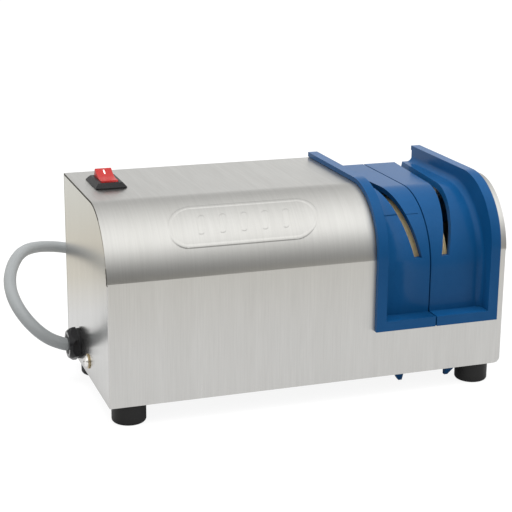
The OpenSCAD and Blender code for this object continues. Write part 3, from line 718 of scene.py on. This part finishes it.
def sheet_rows(inset):
    """The folded sheet's outline in (y, z), from the front's lower edge over the top and down the
    back. On the shoulder each point carries its outward normal and its distance along the curve."""
    rows = [(case_low.y + inset, case_low.z, None, 0), (case_low.y + inset, RELIEF_Z, None, 0)]
    along = 0.0
    last = SHOULDER_LINE[0][0]
    for point, normal in SHOULDER_LINE:
        along += (point - last).length
        last = point
        place = point - normal * inset
        rows.append((max(place.x, case_low.y + inset), place.y, normal, along))
    bend = (case_high.y - BACK_BEND_R, case_high.z - BACK_BEND_R)
    rows += [(y, z, None, 0) for y, z in arc(bend, BACK_BEND_R - inset, 90, 0, 6)]
    rows.append((case_high.y - inset, case_low.z, None, 0))
    return rows


def sheet_solid():
    """The front, shoulder, top and back: one folded sheet with the emboss in its shoulder."""
    bm = bmesh.new()
    reach = EMBOSS_HALF + EMBOSS_R + 10
    fine = [EMBOSS_X - reach + FINE_STEP * k for k in range(int(2 * reach / FINE_STEP) + 1)]
    sides = (case_low.x, case_high.x)
    outer = []
    for y, z, normal, along in sheet_rows(0):
        row = []
        for x in (sides[0], *fine, sides[1]):
            rise = emboss_height(x, along) if normal and x not in sides else 0
            out = Vector((0, normal.x, normal.y)) * rise if rise else Vector()
            row.append(bm.verts.new(Vector((x, y, z)) + out))
        outer.append(row)
    inner = [[bm.verts.new((x, y, z)) for x in sides] for y, z, _, _ in sheet_rows(SHEET)]
    grid_faces(bm, outer)
    grid_faces(bm, inner)
    for side in (0, -1):
        for k in range(len(outer) - 1):
            bm.faces.new((outer[k][side], outer[k + 1][side], inner[k + 1][side],
                          inner[k][side]))
    for end in (0, -1):
        bm.faces.new([*outer[end], inner[end][1], inner[end][0]])
    return bm


def end_panel(bm, low_x, high_x):
    """An end of the housing, folded back from the front's vertical edge and cut to the sheet's
    underside. The gap between them is wide low on the shoulder and near the top, and narrow between."""
    gap = SHEET + SEAM
    outline = [(case_low.y, case_low.z), (case_low.y, RELIEF_Z), (case_low.y + gap + 0.5, RELIEF_Z)]
    for y, z, _, _ in sheet_rows(gap)[2:SHOULDER_STEPS + 3]:
        wide = 1.6 if z < SLIT_TOP else 1.2 * max(0.0, min(1.0, (z - case_high.z + 30) / 20))
        outline.append((y + wide, z))
    outline += [(case_high.y - gap, case_high.z - gap), (case_high.y - gap, case_low.z)]
    prism(bm, outline, low_x, high_x)


def is_panel_edge_in_seam_shade(place):
    """Whether a face is on an end panel's cut edge, in the gap under the folded sheet, where dark steel
    stands in as painted shade.
    """
    if abs(place.x) < case_high.x - SHEET - 0.1:
        return False
    if place.y < SHOULDER_Y and place.z > SHOULDER_Z:
        return SHOULDER_R - math.hypot(place.y - SHOULDER_Y, place.z - SHOULDER_Z) > SEAM_DEPTH
    return RELIEF_Z - 0.3 < place.z < case_high.z - SEAM_DEPTH and place.y > case_low.y + 0.1


def is_sheet_edge_in_seam_shade(place):
    """Whether a face is on the dull cut edge of the folded sheet, which is also painted dark as shade of
    the seam:
    along the top, and on the shoulder low down and near the top."""
    if place.z < RELIEF_Z + 0.5 or abs(place.x) < case_high.x - 0.1:
        return False
    if place.y > SHOULDER_Y:
        return place.z > case_high.z - SHEET and place.y < case_high.y - BACK_BEND_R
    if SHOULDER_Z + 12 < place.z < case_high.z - 9:
        return False
    return min((spot - Vector((place.y, place.z))).length for spot, _ in SHOULDER_LINE) < 0.8


def is_front_bend(edge):
    """Whether an edge is one of the front's two vertical corners, below the shoulder."""
    return all(abs(abs(v.co.x) - case_high.x) < 0.01 and abs(v.co.y - case_low.y) < 0.01
               and v.co.z < RELIEF_Z + 0.01 for v in edge.verts)


def housing_cuts():
    """The space of the housing's openings: the guide's window, the cooling slots, the round lower
    corner at the right, and the holes of the switch, the gland and the screws."""
    cuts = bmesh.new()
    low_y, high_y = case_low.y, case_high.y
    guide_low, guide_high = box_mm("guide_left_half")[0], box_mm("guide_right_half")[1]
    middle_y = (low_y + high_y) / 2
    window = [(low_y - 2, WINDOW_FRONT_Z), (middle_y, WINDOW_FRONT_Z), (middle_y, WINDOW_BACK_Z),
              (high_y + 2, WINDOW_BACK_Z), (high_y + 2, case_high.z + 2), (low_y - 2, case_high.z + 2)]
    prism(cuts, window, guide_low.x + WINDOW_SIDE, guide_high.x - WINDOW_SIDE)
    for k in range(VENT_COUNT):
        x = VENT_X + VENT_PITCH * k
        vent = rounded_box(x, VENT_LOW, x + VENT_W, VENT_HIGH, VENT_W / 2 * 0.98)
        prism(cuts, vent, high_y - 3, high_y + 1, "Y")
    corner_x, corner_z = case_high.x - CORNER_R, case_low.z + CORNER_R
    corner = [(case_high.x + 0.5, case_low.z - 0.5), (case_high.x + 0.5, corner_z)]
    corner += arc((corner_x, corner_z), CORNER_R, 0, -90, 8) + [(corner_x, case_low.z - 0.5)]
    prism(cuts, corner, low_y - 1, low_y + 6, "Y")
    rocker_low, rocker_high = box_mm("switch_rocker")
    switch = (rocker_low + rocker_high) / 2
    hole = rounded_box(switch.x - SWITCH_HOLE_X, switch.y - SWITCH_HOLE_Y,
                       switch.x + SWITCH_HOLE_X, switch.y + SWITCH_HOLE_Y, 0.5, 2)
    prism(cuts, hole, case_high.z - 3, case_high.z + 2, "Z")
    nut_low, nut_high = box_mm("gland_dome_nut")
    gland = (case_low.x, (nut_low.y + nut_high.y) / 2, (nut_low.z + nut_high.z) / 2)
    drill(cuts, GLAND_HOLE_R, gland, "X", high=4, steps=32)
    for side in (-1, 1):
        drill(cuts, SCREW_HOLE_R, (side * case_high.x, SIDE_SCREW_Y, SCREW_Z), "X")
        drill(cuts, SCREW_HOLE_R, (side * BACK_SCREW_X, high_y, SCREW_Z), "Y")
    return cuts


def make_housing():
    """The folded sheet and its end panels in one piece, rounded at the front's vertical edges."""
    bm = sheet_solid()
    panels = bmesh.new()
    end_panel(panels, case_low.x, case_low.x + SHEET)
    end_panel(panels, case_high.x - SHEET, case_high.x)
    bm = combine(bm, panels, "UNION")
    bends = [edge for edge in bm.edges if is_front_bend(edge)]
    bmesh.ops.bevel(bm, geom=bends, offset=FRONT_BEND_R, segments=5, profile=0.5, affect="EDGES")
    bm = combine(bm, housing_cuts(), "DIFFERENCE")
    # The sheet's cut edges at the seam get the dark steel: partly painted seam shade.
    for face in bm.faces:
        face.material_index = CUT_AND_SEAM_SHADE if is_sheet_edge_in_seam_shade(face.calc_center_median()) else WRAP
    bmesh.ops.dissolve_limit(bm, angle_limit=math.radians(0.2), verts=bm.verts, edges=bm.edges,
                             delimit={"MATERIAL"})
    housing = piece("housing", bm, [STEEL_WRAP, STEEL_END, CUT_EDGE_AND_SEAM_SHADE])
    for p in housing.data.polygons:
        if p.material_index == CUT_AND_SEAM_SHADE:
            continue
        if abs(p.normal.x) > 0.9:
            p.material_index = END
        # End panel edges in the gap under the sheet get the dark steel too: partly painted seam shade.
        elif is_panel_edge_in_seam_shade(p.center / MM):
            p.material_index = CUT_AND_SEAM_SHADE
    for edge in housing.data.edges:
        ends = [housing.data.vertices[v].co / MM for v in edge.vertices]
        if all(abs(e.y - case_low.y) < 0.02 and abs(e.z - SHOULDER_Z) < 0.02 for e in ends):
            edge.use_edge_sharp = True
    soften(housing, 0.18, 2, 55).modifiers["shading"].keep_sharp = True
    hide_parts("housing_shell")


make_housing()


# ---------------- knife guide

GUIDE_LOW, GUIDE_HIGH = box_mm("guide_left_half")[0], box_mm("guide_right_half")[1]
SPLIT_X = (box_mm("guide_left_half")[1].x + box_mm("guide_right_half")[0].x) / 2
FLANGE_W = 8.4
FLOOR_Z = case_high.z - 9.6
FLOOR_FRONT_Y = case_low.y + 10.2
FLOOR_R = 58.5
FLOOR_CENTRE = (FLOOR_FRONT_Y + FLOOR_R, FLOOR_Z - FLOOR_R)
LEDGE_Z = 64.5
LIP_Z = 56.4
FILLET_R = 5.0
BURIED = 0.6
GROOVE_HALF = 0.6
GROOVE_DEPTH = 1.8
LINE_START, LINE_END = 131.65, 132.25
LINE_DEPTH = 0.35


def copied(node):
    """A node's own mesh in millimetres, with its facets joined into whole faces."""
    source = frame["nodes"][node]
    bm = bmesh.new()
    bm.from_mesh(source.data)
    bm.transform(Matrix.Scale(1 / MM, 4) @ source.matrix_world)
    bmesh.ops.remove_doubles(bm, verts=bm.verts, dist=0.002)
    bmesh.ops.dissolve_limit(bm, angle_limit=math.radians(0.4), verts=bm.verts, edges=bm.edges)
    return bm


def floor_path(offset):
    """The guide's floor in (y, z), from the ledge up round the shoulder to the back, moved out by an
    offset."""
    path = [(FLOOR_FRONT_Y - offset, LEDGE_Z + 0.3)]
    path += arc(FLOOR_CENTRE, FLOOR_R + offset, 180, 90, 40)
    path.append((GUIDE_HIGH.y - 2.2, FLOOR_Z + offset))
    return path


def guide_fillet(bm, wall_x, side):
    """A hollow round along the corner of a flange and the floor, buried a little in both."""
    curve = []
    for k in range(9):
        turn = math.radians(90 * k / 8)
        curve.append((FILLET_R - FILLET_R * math.sin(turn), FILLET_R - FILLET_R * math.cos(turn)))
    profile = [(-BURIED, -BURIED), (FILLET_R, -BURIED), *curve, (-BURIED, FILLET_R)]
    rows = []
    for u, v in profile:
        path = floor_path(v if v else 0.02)
        rows.append([bm.verts.new((wall_x + side * u, y, z)) for y, z in path])
    tube(bm, rows)


def parting_groove():
    """The space of the narrow gap between the halves, over the lip, the ledge and the floor."""
    front = GUIDE_LOW.y
    back = GUIDE_HIGH.y + 1
    ledge = LEDGE_Z - GROOVE_DEPTH
    outer = [(front - 1, LIP_Z - 1), (front - 1, LEDGE_Z + 1), (FLOOR_FRONT_Y - 1, LEDGE_Z + 1)]
    outer += arc(FLOOR_CENTRE, FLOOR_R + 1, 180, 90, 40) + [(back, FLOOR_Z + 1)]
    inner = [(front + GROOVE_DEPTH, LIP_Z - 1), (front + GROOVE_DEPTH, ledge),
             (FLOOR_FRONT_Y + GROOVE_DEPTH, ledge)]
    inner += arc(FLOOR_CENTRE, FLOOR_R - GROOVE_DEPTH, 180, 90, 40) + [(back, FLOOR_Z - GROOVE_DEPTH)]
    bm = bmesh.new()
    prism(bm, outer + inner[::-1], SPLIT_X - GROOVE_HALF, SPLIT_X + GROOVE_HALF)
    return bm


def height_line(low_x, high_x):
    """The space of the fine line across the left half's floor."""
    outline = arc(FLOOR_CENTRE, FLOOR_R + 1, LINE_START, LINE_END, 1)
    outline += arc(FLOOR_CENTRE, FLOOR_R - LINE_DEPTH, LINE_END, LINE_START, 1)
    bm = bmesh.new()
    prism(bm, outline, low_x, high_x)
    return bm


def make_guide_half(node, wall_x, side):
    """The node's mesh with a fillet along its flange, at wall_x, and the groove at the joint. side is
    1 for the left half, which also has the fine line, and -1 for the right half."""
    bm = copied(node)
    strip = bmesh.new()
    guide_fillet(strip, wall_x, side)
    bm = combine(bm, strip, "UNION")
    bm = combine(bm, parting_groove(), "DIFFERENCE")
    name = node.replace("guide_", "knife_guide_")
    edges = (0.55, 3, 32)
    if side > 0:
        line = height_line(wall_x + 4, SPLIT_X - 4)
        bm = combine(bevelled(bm, *edges), line, "DIFFERENCE")
        bmesh.ops.remove_doubles(bm, verts=bm.verts, dist=0.003)
        bmesh.ops.dissolve_degenerate(bm, edges=bm.edges, dist=0.003)
        half = piece(name, bm, [BLUE], "guide", smooth=24)
    else:
        half = soften(piece(name, bm, [BLUE], "guide"), *edges)
    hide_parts(node)


make_guide_half("guide_left_half", GUIDE_LOW.x + FLANGE_W, 1)
make_guide_half("guide_right_half", GUIDE_HIGH.x - FLANGE_W, -1)


# ---------------- switch

SWITCH_LOW, SWITCH_HIGH = box_mm("switch_body")
SWITCH_X, SWITCH_Y = (SWITCH_LOW.x + SWITCH_HIGH.x) / 2, (SWITCH_LOW.y + SWITCH_HIGH.y) / 2
ROCKER_LOW, ROCKER_HIGH = box_mm("switch_rocker")
ROCKER_R = 13.6
ROCKER_Z = ROCKER_LOW.z + ROCKER_R
ROCKER_TILT = math.radians(11)
ROCKER_HALF = 12.3
VALLEY_HEIGHT = 3.4
HOLLOW = 0.5
BODY_X, BODY_Y = 10.4, 14.9
MARK_HALF = 0.55


def stacked(bm, rings):
    """Closed outlines of equal length at rising heights, joined and capped."""
    rows = [[bm.verts.new((x, y, z)) for x, y in outline] for outline, z in rings]
    grid_faces(bm, rows, close=True)
    bm.faces.new(rows[0][::-1])
    bm.faces.new(rows[-1])


def make_bezel():
    """The snap-in body and its bezel: sloping sides with round corners, a well for the rocker and two
    clip grooves."""
    def ring(inset, radius, z):
        return (rounded_box(SWITCH_LOW.x + inset, SWITCH_LOW.y + inset, SWITCH_HIGH.x - inset,
                            SWITCH_HIGH.y - inset, radius, 5), z)

    bm = bmesh.new()
    sheet_z, top = case_high.z, SWITCH_HIGH.z
    stacked(bm, [ring(0.02, 1.6, sheet_z), ring(0.02, 1.6, sheet_z + 0.7), ring(2.7, 1.2, top - 0.35),
                 ring(3.3, 1.0, top)])
    body = bmesh.new()
    outline = rounded_box(SWITCH_X - BODY_X, SWITCH_Y - BODY_Y, SWITCH_X + BODY_X,
                          SWITCH_Y + BODY_Y, 0.8, 2)
    stacked(body, [(outline, z) for z in (SWITCH_LOW.z, sheet_z + 0.4)])
    bm = combine(bm, body, "UNION")
    well = bmesh.new()
    prism(well, arc((SWITCH_Y, ROCKER_Z), ROCKER_R + 0.3, 0, 352.5, 47), ROCKER_LOW.x - 0.3,
          ROCKER_HIGH.x + 0.3)
    bm = combine(bm, well, "DIFFERENCE")
    clips = bmesh.new()
    groove = [(SWITCH_Y - 4, sheet_z - 11), (SWITCH_Y + 4, sheet_z - 11), (SWITCH_Y + 4, sheet_z - 9),
              (SWITCH_Y - 4, sheet_z - 9)]
    for side in (-1, 1):
        prism(clips, groove, SWITCH_X + side * 10.0, SWITCH_X + side * 10.9)
    bm = combine(bm, clips, "DIFFERENCE")
    bezel = piece("switch_bezel", bm, [LOOKS["black_plastic"]])
    soften(bezel, 0.25, 2, 30)
    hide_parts("switch_body")


def rocker_face(y):
    """The height of the rocker's upper side over its axis: two slightly hollow halves that meet in a
    valley."""
    hollow = HOLLOW * math.sin(math.pi * min(abs(y) / ROCKER_HALF, 1.0))
    return VALLEY_HEIGHT + abs(y) * math.tan(ROCKER_TILT) - hollow


def make_rocker():
    """The red rocker, at rest in its off position, with a white mark on the half that is pressed for on."""
    turn = Matrix.Translation((0, SWITCH_Y, ROCKER_Z)) @ Matrix.Rotation(ROCKER_TILT, 4, "X")
    steps = 24
    across = [ROCKER_HALF - 2 * ROCKER_HALF * k / steps for k in range(steps + 1)]
    top = [(y, rocker_face(y)) for y in across]
    start = math.degrees(math.atan2(top[-1][1], top[-1][0]))
    end = math.degrees(math.atan2(top[0][1], top[0][0])) + 360
    bm = bmesh.new()
    outline = top + arc((0, 0), ROCKER_R - 0.02, start + 3, end - 3, 40)
    prism(bm, outline, ROCKER_LOW.x + 0.02, ROCKER_HIGH.x - 0.02)
    bm.transform(turn)
    rocker = piece("switch_rocker_cap", bm, [LOOKS["rocker_plastic"]], "rocker")
    soften(rocker, 0.8, 4, 28)
    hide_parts("switch_rocker")

    mark = bmesh.new()
    rows = []
    lines = [4.6 + 0.6 * k for k in range(10)]
    for x, rise in ((-MARK_HALF, -0.3), (-MARK_HALF, 0.045), (MARK_HALF, 0.045), (MARK_HALF, -0.3)):
        rows.append([mark.verts.new((SWITCH_X + x, y, rocker_face(y) + rise)) for y in lines])
    tube(mark, rows)
    mark.transform(turn)
    piece("switch_on_mark", mark, [WHITE_INK], "rocker")


make_bezel()
make_rocker()


# ---------------- housing screws and gland nut

THREAD_PITCH = 0.7
WASHER = [(2.1, 0), (5.9, 0), (6, 0.15), (6, 0.75), (5.8, 0.9), (2.1, 0.9), (2.1, 0)]


def screw_mesh(head_r, head_h, shank_r, shank_l):
    """A pan head with a cross recess on +Z from its seat, and a threaded shank below."""
    bm = bmesh.new()
    head = [(0, 1), (0.35, 0.985), (0.62, 0.88), (0.84, 0.64), (0.96, 0.34), (1, 0.08), (0.98, 0)]
    profile = [(r * head_r, z * head_h) for r, z in head] + [(shank_r, 0)]
    for k in range(int((shank_l - 1.2) / THREAD_PITCH)):
        profile += [(shank_r, -0.6 - THREAD_PITCH * k), (shank_r * 0.84, -0.95 - THREAD_PITCH * k)]
    profile += [(shank_r * 0.84, -shank_l + 0.5), (shank_r * 0.5, -shank_l), (0, -shank_l)]
    lathe(bm, profile, (0, 0, 0), "Z", 40)
    reach, half = head_r * 0.52, head_r * 0.11
    cross = [(half, half), (half, reach), (-half, reach), (-half, half), (-reach, half),
             (-reach, -half), (-half, -half), (-half, -reach), (half, -reach), (half, -half),
             (reach, -half), (reach, half)]
    recess = bmesh.new()
    prism(recess, cross, head_h * 0.45, head_h + 1, "Z")
    return combine(bm, recess, "DIFFERENCE")


def make_housing_screws():
    """A screw with a washer in each end of the housing, and two smaller ones in its back."""
    places = []
    for side in (-1, 1):
        end = (side * (case_high.x + 1), SIDE_SCREW_Y, SCREW_Z)
        places.append(("side", end, (side, 0, 0), 5, 3, 8.5))
        places.append(("back", (side * BACK_SCREW_X, case_high.y, SCREW_Z), (0, 1, 0), 4, 1.6, 9))
    for k, (kind, place, way, head_r, head_h, shank_l) in enumerate(places):
        bm = screw_mesh(head_r, head_h, 2, shank_l)
        turn = Vector(way).to_track_quat("Z", "Y").to_matrix().to_4x4()
        tightened = Matrix.Rotation(math.radians(25 + 40 * k), 4, "Z")
        bm.transform(Matrix.Translation(place) @ turn @ tightened)
        screw = piece("housing_screw_%d" % (k + 1), bm, [LOOKS["plated_screws"]])
        soften(screw, 0.12, 2, 40)
        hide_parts("housing_screws")
        if kind == "side":
            bm = bmesh.new()
            lathe(bm, WASHER, (0, 0, 0), "Z", 40)
            bmesh.ops.remove_doubles(bm, verts=bm.verts, dist=0.001)
            bm.transform(Matrix.Translation(Vector(place) - Vector(way) * 0.92) @ turn)
            washer = piece("side_washer_%d" % (k + 1), bm, [YELLOW_ZINC])
            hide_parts("housing_screws")


def make_gland_nut():
    nut = piece("gland_nut", copied("gland_dome_nut"), [GLOSS_BLACK])
    soften(nut, 0.9, 3, 25)
    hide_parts("gland_dome_nut")


make_housing_screws()
make_gland_nut()


# ---------------- what keeps its CAD shape

EDGES_MM = {"foot_front_left": 1.6, "foot_front_right": 1.6, "foot_back_left": 1.6,
            "foot_back_right": 1.6, "plug_body": 0.8}
for node in frame["nodes"]:
    if not frame["nodes"][node].hide_render:
        dress(node, EDGES_MM.get(node, 0.25))


# ---------------- floor, light and the world

TABLE_HALF = 9
TABLE_EDGE_Y = -0.60
TABLE_EDGE_SOFT = 0.14
TABLE_PAINT = 0.12
TABLE_GLOW = 0.84
TABLE_SEEN = 1.06
WORLD_LEVEL = 1.6


def make_floor():
    """A white table, evenly bright for the camera. To the steel and the plastic it is dark far in front
    of the machine, dim beneath it as a painted shadow of the machine, and warmer behind it."""
    bm = bmesh.new()
    corners = [(-TABLE_HALF, -TABLE_HALF), (TABLE_HALF, -TABLE_HALF), (TABLE_HALF, TABLE_HALF),
               (-TABLE_HALF, TABLE_HALF)]
    bm.faces.new([bm.verts.new((x, y, 0)) for x, y in corners])
    mesh = bpy.data.meshes.new("floor")
    bm.to_mesh(mesh)
    bm.free()
    look = Look("floor_white", (0.50, 0.50, 0.50), 0.9, specular=0.05)
    tree, nodes = look.tree, look.tree.nodes
    split = nodes.new("ShaderNodeSeparateXYZ")
    look.link(look.place.outputs["Object"], split.inputs[0])
    level = nodes.new("ShaderNodeMix")
    level.data_type = "FLOAT"
    near = look.span(split.outputs["Y"], TABLE_EDGE_Y - TABLE_EDGE_SOFT, TABLE_EDGE_Y)
    look.link(near, level.inputs[0])
    look.link(look.span(split.outputs["X"], 0.0, 0.5, 0.08, 0.50), level.inputs[2])
    level.inputs[3].default_value = 1.0
    # Beneath the machine's footprint the glow falls to a quarter: a painted shadow, seen only in
    # reflections and bounce light.
    out_of_painted_shadow = []
    for axis, half in (("X", 0.150), ("Y", 0.060)):
        out_of_painted_shadow.append(look.span(calc(tree, "ABSOLUTE", split.outputs[axis]), half, half + 0.03))
    clear = look.span(calc(tree, "MAXIMUM", *out_of_painted_shadow), 0, 1, 0.25, 1)
    mirrored = calc(tree, "MULTIPLY", clear, level.outputs[0])
    seen = nodes.new("ShaderNodeLightPath").outputs["Is Camera Ray"]
    stops = [(-0.52, (0.93, 0.90, 0.82)), (-0.24, (1, 1, 1)), (0.20, (1, 1, 1)),
             (0.32, (0.86, 0.81, 0.70)), (0.42, (0.82, 0.76, 0.63)), (0.55, (0.86, 0.83, 0.73)),
             (0.78, (0.92, 0.92, 0.86))]
    stops = [(along / 2 + 0.5, colour) for along, colour in stops]
    warm = colour_ramp(tree, look.span(split.outputs["Y"], -1, 1), stops)
    plain = nodes.new("ShaderNodeMix")
    plain.data_type = "RGBA"
    plain.inputs[MIX_B].default_value = (1, 1, 1, 1)
    look.link(warm, plain.inputs[MIX_A])
    look.link(seen, plain.inputs[0])
    look.link(plain.outputs[MIX_COLOUR], look.shader.inputs["Emission Color"])
    shown = calc(tree, "MAXIMUM", mirrored, look.span(seen, 0, 1, 0, TABLE_SEEN))
    look.link(calc(tree, "MULTIPLY", shown, TABLE_PAINT), look.shader.inputs["Base Color"])
    look.link(calc(tree, "MULTIPLY", shown, TABLE_GLOW), look.shader.inputs["Emission Strength"])
    mesh.materials.append(look.done())
    floor = bpy.data.objects.new("floor", mesh)
    scene.collection.objects.link(floor)


def make_light(name, place, target, width, height, power):
    """A soft box that lights the plastic and casts the shadows, but doesn't show in the steel."""
    data = bpy.data.lights.new(name, "AREA")
    data.shape = "RECTANGLE"
    data.size = width
    data.size_y = height
    data.energy = power
    light = bpy.data.objects.new(name, data)
    scene.collection.objects.link(light)
    light.location = place
    light.rotation_euler = (Vector(target) - Vector(place)).to_track_quat("-Z", "Y").to_euler()
    light.visible_glossy = False


def make_world():
    """A pale studio, as levels from the front horizon (0) over the zenith (0.5) to the back horizon
    (1). Low in front it is dark at the left, where the camera stands, and lighter at the right."""
    world = bpy.data.worlds.new("studio")
    world.use_nodes = True
    tree = world.node_tree
    nodes, links = tree.nodes, tree.links
    split = nodes.new("ShaderNodeSeparateXYZ")
    links.new(nodes.new("ShaderNodeTexCoord").outputs["Generated"], split.inputs[0])
    ahead = calc(tree, "MULTIPLY", split.outputs["Y"], -1)
    turn = calc(tree, "ARCTAN2", split.outputs["Z"], ahead)
    share = calc(tree, "DIVIDE", turn, math.pi)

    def greys(stops):
        return colour_ramp(tree, share, [(along, (v, v, v * 0.985)) for along, v in stops])

    upper = [(0.19, 0.74), (0.25, 0.94), (0.31, 0.99), (0.38, 0.97), (0.47, 0.87), (0.58, 0.72),
             (0.69, 0.587), (0.77, 0.493), (0.83, 0.45)]
    left = greys([(0.0, 0.09), (0.05, 0.17), (0.10, 0.36), (0.14, 0.53), *upper, (0.87, 0.46),
                  (0.905, 0.50), (1.0, 0.54)])
    right = greys([(0.0, 0.388), (0.05, 0.425), (0.10, 0.499), (0.14, 0.573), *upper, (0.87, 0.52),
                   (0.905, 0.72), (1.0, 0.73)])
    side = nodes.new("ShaderNodeMapRange")
    side.inputs["From Min"].default_value = 0.15
    side.inputs["From Max"].default_value = 0.45
    links.new(split.outputs["X"], side.inputs["Value"])
    blend = nodes.new("ShaderNodeMixRGB")
    links.new(side.outputs["Result"], blend.inputs["Fac"])
    links.new(left, blend.inputs["Color1"])
    links.new(right, blend.inputs["Color2"])
    background = nodes["Background"]
    background.inputs["Strength"].default_value = WORLD_LEVEL
    links.new(blend.outputs["Color"], background.inputs["Color"])
    scene.world = world


make_floor()
make_world()
make_light("overhead", (-0.1, -0.1, 1.5), (0, 0, 0), 1.8, 1.1, 24)
make_light("front_left", (-1.3, -1.2, 1.1), (0, 0, 0.1), 0.8, 0.8, 2)
